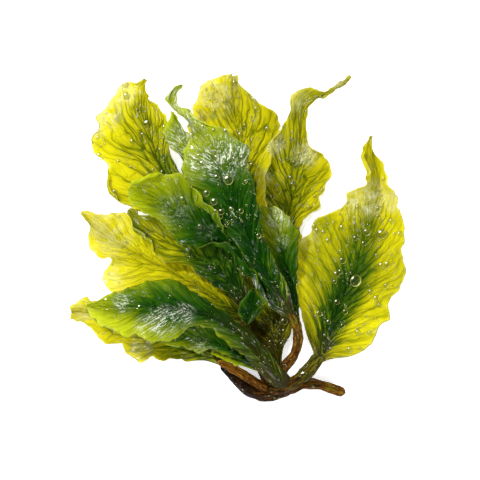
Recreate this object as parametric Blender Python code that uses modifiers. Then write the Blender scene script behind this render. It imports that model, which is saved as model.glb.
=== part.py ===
"""A tuft of seaweed lying on a flat surface.

Broad, thin blades grow from round stipes, and the stipes from a short creeping rhizome with one bare end.
The tuft lies on its back blades: +Z is up, the rhizome is at -Y and the blade tips point to +Y and -X.
The tables below are in millimetres, measured from the middle of the tuft's plan, with z above the surface.
"""

from typing import NamedTuple

import bmesh
import bpy
import numpy as np

MM = 0.001
PLAN_CENTRE = (-0.81, -0.665)

BLADE_THICKNESS = 0.9
BLADE_BASE_THICKNESS = 2.0
THICK_BASE_SHARE = 0.16
PIECE_GAP = 0.32

STIPE_SIDES_RESOLUTION = 2
PATH_STEPS = 400

BLADE_GREEN = (0.16, 0.30, 0.02, 1.0)
BLADE_YELLOW = (0.62, 0.60, 0.03, 1.0)
STIPE_BROWN = (0.09, 0.055, 0.02, 1.0)
WET_ROUGHNESS = 0.28


class Blade(NamedTuple):
    """One blade from base to tip: its rib and its two edges, named as seen when looking from base to tip."""

    rib: list
    left: list
    right: list
    stems: tuple
    colour: tuple
    rows: int = 14
    columns: int = 6
    ruffle: float = 0.8
    waves: float = 3.0
    phase: float = 0.0


class Stipe(NamedTuple):
    """One round stem: the points of its axis, its radius at each, and the stems that it grows from."""

    axis: list
    radii: list
    stems: tuple = ()
    rings: int = 13


STIPES = {
    "rhizome": Stipe(
        axis=[(-6.8, -46.2, 2.2), (-3.4, -48.8, 2.2), (0.4, -52.2, 2.2), (4.5, -55.0, 2.3), (10.5, -55.6, 2.3),
              (16.5, -54.0, 2.2), (22.0, -52.5, 1.8), (28.0, -52.8, 1.6), (33.0, -54.4, 1.6), (36.2, -55.5, 1.6),
              (37.2, -55.9, 1.6)],
        radii=[0.9, 1.5, 2.1, 2.7, 2.8, 2.5, 2.0, 1.8, 1.75, 1.6, 0.9],
        rings=20,
    ),
    "right_stipe": Stipe(
        axis=[(12.5, -54.6, 4.0), (17.0, -53.4, 6.4), (21.2, -50.4, 7.2), (24.8, -47.0, 7.0), (27.6, -43.6, 6.4)],
        radii=[2.0, 2.0, 1.9, 1.7, 1.5],
        stems=("rhizome",),
    ),
    "left_stipe": Stipe(
        axis=[(9.0, -54.5, 4.6), (4.6, -51.4, 6.0), (-1.4, -47.6, 5.8), (-6.6, -44.8, 4.9)],
        radii=[1.4, 1.4, 1.3, 1.2],
        stems=("rhizome",),
    ),
    "back_stipe": Stipe(
        axis=[(14.6, -54.0, 3.0), (13.9, -50.0, 2.6), (13.6, -46.8, 2.6)],
        radii=[1.4, 1.3, 1.2],
        stems=("rhizome", "right_stipe"),
        rings=8,
    ),
    "main_stem": Stipe(
        axis=[(10.6, -53.4, 3.4), (8.0, -46.6, 4.8), (4.6, -40.0, 5.8), (2.2, -33.0, 6.4), (1.0, -26.0, 6.8),
              (-0.6, -16.0, 7.2), (-5.2, -0.6, 7.8)],
        radii=[1.9, 1.8, 1.7, 1.6, 1.4, 1.3, 1.1],
        stems=("rhizome", "left_stipe", "right_stipe"),
    ),
    "front_stipe": Stipe(
        axis=[(14.0, -53.4, 4.0), (13.2, -50.4, 6.6), (10.0, -47.4, 8.4), (6.2, -45.2, 9.0)],
        radii=[1.7, 1.7, 1.5, 1.2],
        stems=("rhizome", "right_stipe", "left_stipe", "back_stipe", "main_stem"),
        rings=10,
    ),
    "centre_stipe": Stipe(
        axis=[(13.2, -50.4, 7.0), (15.6, -46.4, 8.0), (18.9, -42.2, 8.6), (20.3, -36.8, 10.2), (19.7, -31.4, 12.6),
              (18.1, -27.6, 14.8)],
        radii=[1.6, 1.6, 1.55, 1.5, 1.45, 1.35],
        stems=("front_stipe", "right_stipe"),
    ),
}

BLADES = {
    "right_blade": Blade(
        rib=[(27.9, -43.2, 6.3), (29.4, -38.0, 6.6), (31.4, -30.0, 6.4), (34.4, -21.0, 6.2), (37.8, -11.0, 6.4),
             (41.0, -1.0, 7.2), (43.8, 8.0, 9.6), (46.0, 15.5, 13.0), (47.4, 21.0, 15.0), (46.0, 27.0, 15.4),
             (46.0, 34.6, 14.0)],
        left=[(26.4, -43.6, 6.3), (25.6, -40.5, 6.8), (23.5, -35.0, 7.6), (22.2, -29.5, 8.2), (19.8, -18.0, 8.8),
              (19.5, -9.0, 9.0), (20.8, -2.6, 9.0), (24.6, 1.6, 8.4), (25.6, 6.2, 8.6), (31.0, 7.8, 10.0),
              (35.5, 10.5, 12.0), (38.2, 15.0, 14.2), (43.3, 17.8, 16.6), (44.8, 21.6, 17.2), (42.6, 27.0, 16.4),
              (43.6, 31.6, 15.2), (45.6, 34.8, 14.2)],
        right=[(29.4, -43.4, 6.3), (33.0, -43.2, 5.2), (40.0, -42.4, 3.0), (46.2, -38.8, 2.0), (48.0, -33.6, 3.0),
               (52.6, -28.6, 2.0), (52.5, -23.6, 2.4), (57.4, -17.5, 1.2), (58.5, -12.0, 1.6), (56.7, -5.6, 3.2),
               (58.1, 1.5, 3.0), (55.8, 8.6, 5.6), (54.6, 14.2, 9.0), (51.7, 17.2, 12.6), (51.2, 21.8, 14.4),
               (48.4, 26.6, 15.4), (46.0, 29.8, 15.2), (46.5, 34.5, 13.9)],
        stems=("right_stipe",),
        colour=BLADE_YELLOW,
        rows=20,
        columns=7,
        waves=4.0,
    ),
    "upper_right_blade": Blade(
        rib=[(13.6, -46.0, 2.6), (13.2, -36.0, 2.2), (13.6, -24.0, 2.0), (15.0, -10.0, 2.2), (17.0, 4.0, 2.6),
             (19.0, 17.0, 3.0), (20.4, 29.0, 5.0), (21.0, 38.0, 8.0), (21.4, 43.6, 10.4), (23.6, 47.4, 11.6),
             (27.2, 49.0, 10.8), (30.6, 50.2, 9.2), (34.6, 52.4, 7.4), (39.0, 55.8, 5.4)],
        left=[(12.4, -46.0, 2.6), (9.0, -40.0, 1.8), (4.6, -33.0, 1.6), (1.2, -25.0, 1.8), (-0.4, -16.0, 2.2),
              (3.0, -6.0, 3.0), (5.8, 4.0, 4.4), (6.0, 15.0, 6.2), (7.6, 26.0, 7.6), (11.6, 34.0, 8.2),
              (16.0, 40.4, 8.8),
              (17.3, 44.4, 11.0), (17.6, 47.6, 13.2), (21.0, 50.6, 14.0), (25.0, 51.4, 12.8), (28.6, 50.2, 10.6),
              (32.8, 52.1, 8.4), (36.2, 54.6, 6.6), (38.8, 56.2, 5.4)],
        right=[(14.8, -46.0, 2.6), (15.4, -40.0, 2.2), (18.2, -34.8, 1.6), (18.8, -29.8, 1.4), (22.0, -24.6, 1.0),
               (22.0, -14.0, 0.9), (21.4, -4.0, 1.2), (22.6, 5.4, 1.4), (27.2, 9.6, 1.0), (28.4, 14.4, 1.2),
               (32.3, 22.2, 1.6), (29.6, 27.8, 3.4), (24.2, 31.6, 5.8), (23.5, 37.4, 7.8), (24.3, 43.4, 10.2),
               (27.2, 47.0, 10.6), (30.2, 49.2, 9.0), (34.2, 50.8, 7.4), (37.2, 53.2, 6.2), (39.3, 55.5, 5.4)],
        stems=("back_stipe",),
        colour=BLADE_YELLOW,
        rows=24,
        waves=4.0,
        phase=0.3,
    ),
    "upper_blade": Blade(
        rib=[(-1.8, -9.8, 7.0), (0.4, -3.0, 5.8), (1.6, 5.0, 4.4), (2.0, 15.0, 2.4), (1.0, 27.0, 0.2),
             (-0.6, 38.0, 1.0), (-2.0, 47.0, 4.2), (-2.4, 55.8, 9.0)],
        left=[(-2.8, -8.8, 7.0), (-2.8, -2.0, 5.6), (-5.0, 5.0, 4.6), (-9.0, 14.0, 3.2), (-12.4, 23.0, 1.8),
              (-16.4, 31.0, 1.4), (-18.4, 37.0, 1.6), (-16.8, 43.0, 2.8), (-14.6, 48.6, 5.6), (-13.6, 52.4, 8.0),
              (-8.4, 55.0, 9.6), (-3.6, 56.9, 10.0)],
        right=[(-0.8, -10.6, 7.0), (3.4, -2.6, 5.2), (5.2, 4.0, 3.6), (7.6, 12.0, 1.8), (11.0, 22.0, 1.0),
               (14.0, 31.0, 0.9), (15.0, 37.4, 1.2), (12.8, 42.8, 1.8), (7.0, 46.2, 3.0), (3.6, 49.2, 4.4),
               (0.6, 51.6, 6.8), (-1.0, 56.4, 9.4)],
        stems=("main_stem",),
        colour=BLADE_YELLOW,
        rows=16,
        columns=7,
        phase=0.6,
    ),
    "upper_left_blade": Blade(
        rib=[(-5.2, 0.2, 7.8), (-12.0, 7.6, 7.6), (-21.0, 15.0, 6.4), (-28.0, 24.0, 4.2), (-32.0, 34.0, 3.2),
             (-34.4, 44.0, 4.6), (-34.4, 50.0, 6.6), (-33.4, 54.8, 8.6)],
        left=[(-6.2, -0.8, 7.8), (-15.0, 3.4, 6.4), (-25.0, 6.0, 4.6), (-33.0, 8.0, 2.4), (-39.0, 9.7, 1.4),
              (-44.0, 12.4, 1.0), (-46.2, 16.4, 1.4), (-45.8, 21.0, 2.2), (-47.8, 26.0, 2.0), (-52.0, 29.4, 0.9),
              (-52.5, 33.6, 0.9), (-50.0, 37.6, 2.0), (-50.9, 41.2, 3.4), (-47.4, 44.8, 4.0), (-42.4, 51.6, 6.4),
              (-39.6, 53.8, 7.6), (-36.4, 53.4, 8.4), (-33.9, 55.2, 8.8)],
        right=[(-4.2, 1.0, 7.8), (-8.6, 9.4, 8.2), (-15.0, 16.6, 9.0), (-21.0, 21.6, 8.8), (-23.7, 27.0, 8.4),
               (-25.2, 33.0, 7.6), (-25.2, 39.6, 6.2), (-28.6, 45.0, 3.6), (-32.2, 48.0, 3.0), (-33.2, 51.4, 5.4),
               (-32.9, 54.6, 8.4)],
        stems=("main_stem",),
        colour=BLADE_YELLOW,
        rows=20,
        columns=7,
        waves=3.5,
        phase=0.1,
    ),
    "left_blade": Blade(
        rib=[(1.6, -29.0, 5.6), (-3.0, -26.2, 5.0), (-8.0, -22.6, 4.2), (-17.0, -16.6, 2.4), (-27.0, -11.4, 0.6),
             (-36.0, -6.6, 0.1), (-45.0, -1.6, 0.2), (-52.0, 3.4, 1.8), (-56.0, 7.6, 3.6)],
        left=[(1.2, -30.2, 5.6), (-2.6, -29.2, 4.8), (-7.0, -26.4, 4.2), (-15.0, -21.6, 2.6), (-24.0, -19.6, 1.6),
              (-34.0, -19.8, 1.0), (-42.0, -20.6, 0.8), (-47.2, -19.2, 0.9), (-48.5, -14.4, 1.0), (-46.0, -9.6, 1.8),
              (-49.0, -8.2, 1.4), (-52.8, -5.0, 0.8), (-53.6, -1.0, 0.8), (-52.8, 3.2, 1.6), (-56.0, 7.2, 3.6)],
        right=[(1.8, -27.8, 5.6), (-2.2, -22.6, 5.2), (-6.4, -17.0, 5.0), (-13.0, -8.6, 3.6), (-22.0, -1.4, 2.2),
               (-31.0, 5.2, 1.2), (-39.0, 7.8, 0.9), (-47.0, 8.0, 1.0), (-53.0, 8.3, 2.2), (-56.1, 8.2, 3.6)],
        stems=("main_stem",),
        colour=BLADE_YELLOW,
        rows=18,
        columns=7,
        ruffle=0.5,
        waves=3.5,
    ),
    "inner_left_blade": Blade(
        rib=[(1.0, -25.6, 7.6), (0.0, -21.2, 9.3), (-3.6, -15.6, 10.2), (-9.0, -11.0, 10.2), (-16.0, -7.2, 9.0),
             (-24.0, -3.2, 7.8), (-31.0, 1.4, 7.2), (-36.0, 5.6, 7.0), (-39.0, 9.2, 7.2)],
        left=[(0.2, -26.0, 7.6), (-2.4, -23.2, 8.8), (-5.0, -20.6, 9.0), (-9.0, -18.2, 8.6), (-13.8, -15.6, 7.8),
              (-18.2, -11.8, 7.0), (-22.4, -10.4, 6.6), (-27.4, -10.0, 6.0), (-30.0, -5.6, 5.8), (-34.0, -1.4, 5.6),
              (-37.4, 2.6, 6.0), (-39.4, 8.8, 7.0)],
        right=[(1.8, -25.0, 7.6), (2.8, -20.4, 9.6), (1.4, -15.0, 10.2), (0.4, -10.0, 10.8), (-3.4, -5.0, 11.2),
               (-14.0, -1.0, 11.2),
               (-22.0, 2.8, 10.4), (-29.0, 6.2, 9.6), (-34.4, 7.2, 8.6), (-38.4, 9.6, 7.4)],
        stems=("main_stem",),
        colour=BLADE_GREEN,
        rows=15,
        ruffle=0.5,
    ),
    "lower_left_blade": Blade(
        rib=[(-6.0, -44.9, 4.9), (-11.0, -42.4, 4.4), (-18.0, -40.0, 3.6), (-26.0, -37.8, 3.2), (-35.0, -35.4, 3.6),
             (-44.0, -31.8, 4.6), (-51.0, -28.2, 6.0), (-55.6, -26.8, 7.0), (-59.4, -27.0, 7.4)],
        left=[(-6.4, -45.9, 4.7), (-11.0, -44.6, 3.4), (-18.0, -44.4, 1.4), (-26.0, -44.7, 0.6), (-31.0, -43.7, 0.8),
              (-35.6, -44.9, 0.5), (-39.6, -43.0, 0.5), (-42.4, -38.9, 1.0), (-48.0, -38.0, 0.7), (-50.6, -35.0, 1.4),
              (-54.6, -31.6, 3.4), (-59.6, -29.8, 6.2)],
        right=[(-5.6, -43.8, 5.0), (-10.0, -38.8, 5.8), (-18.0, -33.8, 6.0), (-28.0, -29.6, 5.8), (-38.0, -26.2, 6.0),
               (-47.0, -23.4, 7.0), (-54.6, -22.4, 8.2), (-57.8, -23.2, 8.8), (-60.0, -25.4, 8.4)],
        stems=("left_stipe",),
        colour=BLADE_YELLOW,
        rows=18,
        waves=4.0,
        phase=0.4,
    ),
    "lower_middle_blade": Blade(
        rib=[(7.4, -45.8, 9.2), (2.0, -43.4, 8.9), (-4.0, -40.2, 9.0), (-11.0, -37.4, 9.2), (-18.0, -36.0, 9.2),
             (-25.0, -36.4, 8.8), (-30.0, -37.6, 8.4)],
        left=[(7.0, -46.8, 9.1), (1.6, -45.6, 8.6), (-4.0, -42.6, 8.4), (-9.6, -40.4, 8.4), (-14.2, -41.6, 7.6),
              (-17.4, -39.9, 8.2), (-22.4, -39.9, 7.8), (-26.4, -39.0, 8.0), (-30.2, -38.1, 8.2)],
        right=[(7.8, -44.8, 9.2), (2.0, -41.0, 9.7), (-4.0, -36.4, 10.6), (-11.0, -32.8, 11.4), (-18.0, -31.6, 11.6),
               (-25.0, -33.6, 10.2), (-30.0, -37.0, 8.8)],
        stems=("front_stipe",),
        colour=BLADE_GREEN,
        rows=12,
        columns=5,
        ruffle=0.4,
    ),
    "lower_front_blade": Blade(
        rib=[(14.6, -50.6, 9.4), (9.4, -43.8, 12.2), (3.0, -36.6, 15.2), (-5.0, -30.8, 17.8), (-14.0, -27.2, 19.6),
             (-25.0, -25.6, 20.2), (-36.0, -25.4, 18.8), (-46.0, -25.8, 16.0), (-53.4, -25.0, 13.0)],
        left=[(12.4, -51.2, 9.2), (5.4, -45.0, 11.4), (-2.0, -38.8, 13.4), (-9.0, -34.0, 14.8), (-15.6, -31.6, 15.6),
              (-19.6, -33.8, 15.4), (-24.4, -37.2, 14.4), (-29.6, -37.4, 13.8), (-34.6, -35.7, 14.0),
              (-39.0, -35.8, 13.2), (-44.0, -34.2, 12.8), (-49.0, -31.6, 12.2), (-52.4, -28.4, 12.2),
              (-53.9, -25.6, 12.8)],
        right=[(17.0, -49.4, 9.2), (10.6, -41.6, 12.4), (4.2, -33.6, 13.8), (-3.0, -28.2, 15.0), (-10.0, -23.8, 15.4),
               (-16.0, -19.8, 15.2), (-21.8, -16.0, 14.6), (-27.0, -14.9, 14.0), (-34.0, -17.0, 14.0),
               (-42.0, -20.0, 13.6), (-49.0, -22.2, 12.8), (-53.8, -24.3, 12.8)],
        stems=("front_stipe", "right_stipe", "centre_stipe"),
        colour=BLADE_GREEN,
        rows=20,
        columns=7,
        ruffle=0.6,
    ),
    "left_front_blade": Blade(
        rib=[(19.0, -29.8, 12.9), (14.6, -25.0, 13.0), (8.0, -16.8, 14.2), (0.0, -8.0, 16.0), (-8.0, -0.8, 16.8),
             (-17.0, 5.4, 17.0), (-26.0, 10.6, 16.8), (-33.0, 14.0, 16.8), (-38.6, 16.4, 17.6)],
        left=[(18.4, -30.8, 12.7), (13.6, -27.6, 12.9), (8.4, -21.8, 13.6), (3.6, -15.0, 14.6), (-2.0, -9.2, 15.4),
              (-7.0, -4.2, 16.2), (-14.0, -3.6, 16.4), (-20.6, -3.2, 16.8), (-25.0, 1.6, 17.4), (-29.0, 6.6, 17.8),
              (-34.0, 8.9, 18.0), (-38.8, 11.2, 18.6), (-39.5, 15.6, 18.8)],
        right=[(18.6, -28.6, 12.9), (14.8, -23.0, 13.1), (9.0, -12.6, 14.8), (2.0, 0.0, 17.4), (-5.0, 9.0, 18.4),
               (-12.0, 16.0, 19.2), (-19.0, 20.6, 19.6), (-26.0, 21.3, 19.8), (-32.0, 20.0, 19.6),
               (-37.8, 18.4, 19.2)],
        stems=("centre_stipe",),
        colour=BLADE_GREEN,
        rows=18,
        columns=7,
        ruffle=0.5,
        phase=0.5,
    ),
    "centre_blade": Blade(
        rib=[(18.1, -27.2, 15.2), (14.0, -20.8, 19.0), (7.6, -10.6, 22.6), (2.0, 0.4, 25.6), (-3.0, 12.0, 27.6),
             (-7.0, 24.0, 28.0), (-12.0, 34.0, 26.0), (-17.6, 39.8, 23.2), (-22.0, 43.6, 20.6), (-24.2, 47.2, 18.4),
             (-22.8, 50.6, 17.0), (-20.4, 52.4, 16.0)],
        left=[(17.1, -27.5, 15.3), (11.8, -21.0, 18.6), (4.2, -11.6, 21.2), (-2.6, -1.2, 23.2), (-9.4, 5.4, 24.4),
              (-14.5, 11.5, 24.8), (-18.2, 18.0, 24.6), (-20.8, 24.0, 24.0), (-20.0, 28.8, 23.6), (-17.4, 33.0, 23.0),
              (-18.4, 38.6, 22.0), (-22.8, 43.0, 20.0), (-25.4, 46.4, 18.4), (-24.8, 50.0, 17.2),
              (-20.8, 52.9, 15.9)],
        right=[(19.1, -26.8, 15.2), (16.6, -17.0, 18.8), (11.8, -8.0, 21.0), (8.2, 1.0, 23.6), (6.4, 10.0, 25.2),
               (5.0, 19.0, 26.2), (3.2, 24.0, 26.2), (3.8, 29.4, 26.6), (0.0, 32.8, 27.6), (-5.0, 36.8, 27.2),
               (-11.0, 38.2, 25.8), (-15.8, 40.2, 23.6), (-19.2, 43.8, 21.0), (-22.0, 46.4, 19.0),
               (-21.8, 49.6, 17.2), (-20.1, 51.8, 16.0)],
        stems=("centre_stipe",),
        colour=BLADE_GREEN,
        rows=22,
        columns=7,
        ruffle=0.7,
        waves=4.0,
    ),
    "pointed_blade": Blade(
        rib=[(-3.9, -4.4, 8.6), (-6.8, 3.0, 11.4), (-10.4, 12.0, 13.2), (-14.0, 21.0, 14.8), (-17.6, 29.0, 16.2),
             (-20.8, 36.0, 17.2), (-23.4, 42.8, 18.0)],
        left=[(-4.8, -4.8, 8.6), (-8.8, 3.0, 11.4), (-12.6, 12.2, 13.2), (-17.6, 21.4, 14.4), (-21.8, 27.6, 15.2),
              (-25.4, 31.0, 15.4), (-27.2, 35.4, 16.0), (-25.2, 40.2, 17.4), (-23.9, 43.2, 18.0)],
        right=[(-3.1, -4.0, 8.6), (-5.2, 3.0, 11.4), (-7.8, 11.6, 13.2), (-9.6, 20.0, 15.0), (-12.0, 27.4, 17.0),
               (-15.4, 33.0, 17.8), (-19.4, 37.2, 17.8), (-22.9, 42.6, 18.0)],
        stems=("main_stem",),
        colour=BLADE_GREEN,
        columns=5,
        ruffle=0.5,
    ),
    "small_right_blade": Blade(
        rib=[(20.3, -33.4, 11.2), (19.8, -28.6, 10.6), (19.2, -22.4, 11.2), (17.8, -15.0, 13.0), (15.2, -6.0, 14.8), (13.0, 2.4, 15.6),
             (9.6, 9.8, 15.4)],
        left=[(19.4, -33.2, 11.2), (18.8, -28.6, 10.6), (17.6, -22.6, 11.2), (15.0, -15.4, 12.6), (10.6, -6.6, 13.6), (7.0, 1.0, 14.4),
              (5.6, 7.4, 15.0), (6.8, 10.7, 15.4)],
        right=[(21.2, -33.2, 11.2), (21.0, -28.4, 10.6), (20.7, -22.2, 11.0), (20.3, -15.0, 12.4), (20.2, -6.0, 13.4), (20.4, 1.0, 14.2),
               (17.6, 6.4, 14.8), (12.4, 10.2, 15.4)],
        stems=("centre_stipe",),
        colour=BLADE_GREEN,
        rows=12,
        ruffle=0.4,
    ),
    "small_folded_blade": Blade(
        rib=[(2.4, -31.6, 8.2), (3.4, -28.4, 9.8), (4.2, -24.4, 11.0), (4.4, -18.9, 11.9)],
        left=[(1.5, -31.6, 8.4), (0.2, -29.2, 10.2), (-0.8, -26.0, 11.4), (3.8, -18.9, 12.0)],
        right=[(3.3, -31.6, 8.4), (6.8, -27.8, 10.6), (8.9, -23.8, 11.6), (5.2, -18.6, 12.0)],
        stems=("main_stem",),
        colour=BLADE_GREEN,
        rows=8,
        columns=4,
        ruffle=0.2,
        waves=1.5,
    ),
    "small_lower_blade": Blade(
        rib=[(8.2, -47.6, 6.9), (4.6, -46.4, 6.8), (-1.0, -44.4, 7.0), (-6.0, -42.6, 7.0), (-10.2, -41.4, 7.1)],
        left=[(7.8, -48.2, 6.9), (4.2, -47.6, 6.8), (-0.4, -46.5, 7.0), (-5.4, -44.6, 7.0), (-10.4, -41.9, 7.1)],
        right=[(8.6, -47.0, 6.9), (4.8, -45.4, 6.8), (-1.0, -42.2, 7.1), (-6.0, -40.6, 7.1), (-10.0, -40.8, 7.1)],
        stems=("front_stipe", "main_stem", "left_stipe"),
        colour=BLADE_GREEN,
        rows=8,
        columns=4,
        ruffle=0.1,
        waves=2.0,
    ),
}


def clear_scene():
    for obj in list(bpy.data.objects):
        bpy.data.objects.remove(obj)


def make_collection(name):
    collection = bpy.data.collections.new(name)
    bpy.context.scene.collection.children.link(collection)
    return collection


def make_material(name, colour):
    material = bpy.data.materials.new(name)
    material.use_nodes = True
    shader = material.node_tree.nodes["Principled BSDF"]
    shader.inputs["Base Color"].default_value = colour
    shader.inputs["Roughness"].default_value = WET_ROUGHNESS
    shader.inputs["Metallic"].default_value = 0.0
    return material


def in_frame(points):
    """Points of the tables, in millimetres, moved to the part's own frame in metres."""
    moved = np.array(points, float)
    moved[..., 0] -= PLAN_CENTRE[0]
    moved[..., 1] -= PLAN_CENTRE[1]
    return moved * MM


def smooth_path(points, shares):
    """Points at these shares of the length of a smooth curve that passes through all the given ones."""
    knots = np.array(points, float)
    times = np.concatenate([[0.0], np.cumsum(np.sqrt(np.linalg.norm(np.diff(knots, axis=0), axis=1)))])
    slopes = np.gradient(knots, times, axis=0)
    fine = np.linspace(0.0, times[-1], PATH_STEPS)
    span = np.clip(np.searchsorted(times, fine, side="right") - 1, 0, len(times) - 2)
    width = (times[span + 1] - times[span])[:, None]
    t = (fine - times[span])[:, None] / width
    curve = (
        knots[span] * (2 * t**3 - 3 * t**2 + 1)
        + slopes[span] * width * (t**3 - 2 * t**2 + t)
        + knots[span + 1] * (3 * t**2 - 2 * t**3)
        + slopes[span + 1] * width * (t**3 - t**2)
    )
    run = np.concatenate([[0.0], np.cumsum(np.linalg.norm(np.diff(curve, axis=0), axis=1))])
    run /= run[-1]
    return np.column_stack([np.interp(shares, run, curve[:, axis]) for axis in range(curve.shape[1])])


def blade_surface(blade, along, across):
    """Points of a blade's middle surface: along runs from 0 to 1, base to tip, and across from -1 to 1, left to right."""
    rib = smooth_path(blade.rib, along)
    left = smooth_path(blade.left, along)
    right = smooth_path(blade.right, along)
    v = across[:, None]
    points = rib + v * (right - left) / 2 + v**2 * ((right + left) / 2 - rib)
    swell = np.sin(np.pi * along) * np.abs(across) ** 3
    side = np.where(across < 0, 0.25, 0.0)
    points[:, 2] += blade.ruffle * swell * np.sin(2 * np.pi * (blade.waves * along + blade.phase + side))
    points[:, 2] = np.maximum(points[:, 2], BLADE_THICKNESS / 2)
    return points


def evaluated_mesh(obj):
    """The object's mesh with its modifiers or its bevel applied, and with loose caps welded on."""
    graph = bpy.context.evaluated_depsgraph_get()
    mesh = bpy.data.meshes.new_from_object(obj.evaluated_get(graph))
    edit = bmesh.new()
    edit.from_mesh(mesh)
    bmesh.ops.remove_doubles(edit, verts=edit.verts, dist=1e-6)
    for vertex in edit.verts:
        vertex.co.z = max(vertex.co.z, 0.0)
    edit.to_mesh(mesh)
    edit.free()
    return mesh


def make_tube(name, stipe, collection, extra_radius=0.0):
    """A round stem as a mesh tube with closed ends, flattened where it presses on the surface below."""
    shares = np.linspace(0.0, 1.0, stipe.rings)
    rows = smooth_path(np.column_stack([stipe.axis, stipe.radii]), shares)
    for end, inner in ((0, 1), (-1, -2)):
        way = rows[end, :3] - rows[inner, :3]
        rows[end, :3] += extra_radius * way / np.linalg.norm(way)
    curve = bpy.data.curves.new(name + "_axis", "CURVE")
    curve.dimensions = "3D"
    curve.bevel_depth = MM
    curve.bevel_resolution = STIPE_SIDES_RESOLUTION
    curve.use_fill_caps = True
    spline = curve.splines.new("POLY")
    spline.points.add(len(rows) - 1)
    for point, place, radius in zip(spline.points, in_frame(rows[:, :3]), rows[:, 3]):
        point.co = (*place, 1.0)
        point.radius = radius + extra_radius
    guide = bpy.data.objects.new(name + "_guide", curve)
    collection.objects.link(guide)
    tube = bpy.data.objects.new(name, evaluated_mesh(guide))
    tube.matrix_world = guide.matrix_world
    bpy.data.objects.remove(guide)
    collection.objects.link(tube)
    return tube


def make_cutters(names, collection):
    """A stem a little fatter than the real one, which trims what grows from it and leaves the gap between them."""
    cutters = {}
    for name in names:
        cutter = make_tube(name + "_cutter", STIPES[name], collection, PIECE_GAP)
        cutter.hide_render = True
        cutter.display_type = "WIRE"
        cutters[name] = cutter
    return cutters


def trim(obj, stems, cutters):
    for stem in stems:
        cut = obj.modifiers.new("trim at " + stem, "BOOLEAN")
        cut.operation = "DIFFERENCE"
        cut.object = cutters[stem]


def make_stipe(name, stipe, collection, cutters, material):
    obj = make_tube(name, stipe, collection)
    trim(obj, stipe.stems, cutters)
    obj.data.materials.append(material)
    obj.data.shade_smooth()
    return obj


def make_blade(name, blade, collection, cutters, material):
    """A blade as a grid laid over its surface, thickened, thickest at its base, and trimmed at its stems."""
    sheet = bmesh.new()
    bmesh.ops.create_grid(sheet, x_segments=blade.columns, y_segments=blade.rows, size=1.0)
    sheet.verts.ensure_lookup_table()
    flat = np.array([vertex.co[:2] for vertex in sheet.verts])
    along = (flat[:, 1] + 1) / 2
    for vertex, place in zip(sheet.verts, in_frame(blade_surface(blade, along, flat[:, 0]))):
        vertex.co = place
    mesh = bpy.data.meshes.new(name)
    sheet.to_mesh(mesh)
    sheet.free()
    obj = bpy.data.objects.new(name, mesh)
    collection.objects.link(obj)
    base = obj.vertex_groups.new(name="base")
    for index, share in enumerate(along):
        base.add([index], float(np.clip(1 - share / THICK_BASE_SHARE, 0, 1)), "REPLACE")
    wall = obj.modifiers.new("wall", "SOLIDIFY")
    wall.thickness = BLADE_BASE_THICKNESS * MM
    wall.offset = 0.0
    wall.vertex_group = base.name
    wall.thickness_vertex_group = BLADE_THICKNESS / BLADE_BASE_THICKNESS
    obj.data.materials.append(material)
    solid = evaluated_mesh(obj)
    obj.modifiers.clear()
    obj.vertex_groups.clear()
    obj.data = solid
    obj.data.shade_smooth()
    trim(obj, blade.stems, cutters)
    return obj


def main():
    clear_scene()
    tuft = make_collection("seaweed")
    helpers = make_collection("cutters")
    stem_names = {name for piece in (*STIPES.values(), *BLADES.values()) for name in piece.stems}
    cutters = make_cutters(sorted(stem_names), helpers)
    brown = make_material("stipe", STIPE_BROWN)
    for name, stipe in STIPES.items():
        make_stipe(name, stipe, tuft, cutters, brown)
    for name, blade in BLADES.items():
        make_blade(name, blade, tuft, cutters, make_material(name, blade.colour))


main()
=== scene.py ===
"""The looks of a tuft of seaweed that lies wet on a pale surface.

Each blade is a thin sheet lofted between a rib and two edges, with ruffled and rolled margins, and each
stipe is a ridged stem. They have the names and the main points of the solids that they stand for.
The tables below are in millimetres, with z above the surface, and PLAN_CENTRE is the tuft's middle in them.
"""

from typing import NamedTuple

import bmesh
import bpy
import numpy as np
from mathutils import Matrix, Vector
from mathutils.bvhtree import BVHTree


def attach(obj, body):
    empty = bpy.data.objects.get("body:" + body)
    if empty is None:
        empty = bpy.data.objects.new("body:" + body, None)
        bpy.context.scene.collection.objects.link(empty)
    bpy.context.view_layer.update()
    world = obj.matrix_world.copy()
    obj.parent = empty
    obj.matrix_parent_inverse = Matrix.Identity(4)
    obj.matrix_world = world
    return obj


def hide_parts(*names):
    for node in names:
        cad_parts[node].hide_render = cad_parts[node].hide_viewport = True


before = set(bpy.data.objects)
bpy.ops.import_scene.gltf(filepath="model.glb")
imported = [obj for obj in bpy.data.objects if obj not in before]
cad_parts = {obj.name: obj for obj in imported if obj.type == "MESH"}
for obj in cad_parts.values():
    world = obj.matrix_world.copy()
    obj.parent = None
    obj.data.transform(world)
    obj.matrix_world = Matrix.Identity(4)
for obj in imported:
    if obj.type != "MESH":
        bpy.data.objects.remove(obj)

MM = 0.001
PLAN_CENTRE = (-0.81, -0.665)
PATH_STEPS = 1200

# The blades' mesh, rib and margins
LOWEST = 0.02
BLADE_STEP = 0.65
BLADE_HALF_WALL = 0.15
MARGIN_THINNING = 0.4
RIB_WIDTH = 1.5
RIB_WIDENING = 1.2
ROLL_COLUMNS = 10
ROLL_SOFT_PART = 0.3
LIP_RADIUS = 0.3
LIP_TURN = 15.0
WIDEST_ROLL = 0.3
WIDEST_FLAP = 0.6

# Their waves, where each kind has its own part of the random numbers
SIDE_PHASE = 0.25
SIDE_SHIFT = 7.3
FRILL_STEPS = (8.0, 3.4)
WOBBLE_STEPS = (3.0, 1.4)
WOBBLE_WIDTH = 0.95
WOBBLE_SEED = 50
PLEAT_STEPS = (3.4, 17.0)
PLEAT_HEIGHT = 0.8
PLEAT_SEED = 4
PUCKER_STEP = 2.6
PUCKER_HEIGHT = 0.32
PUCKER_SEED = 5

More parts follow.
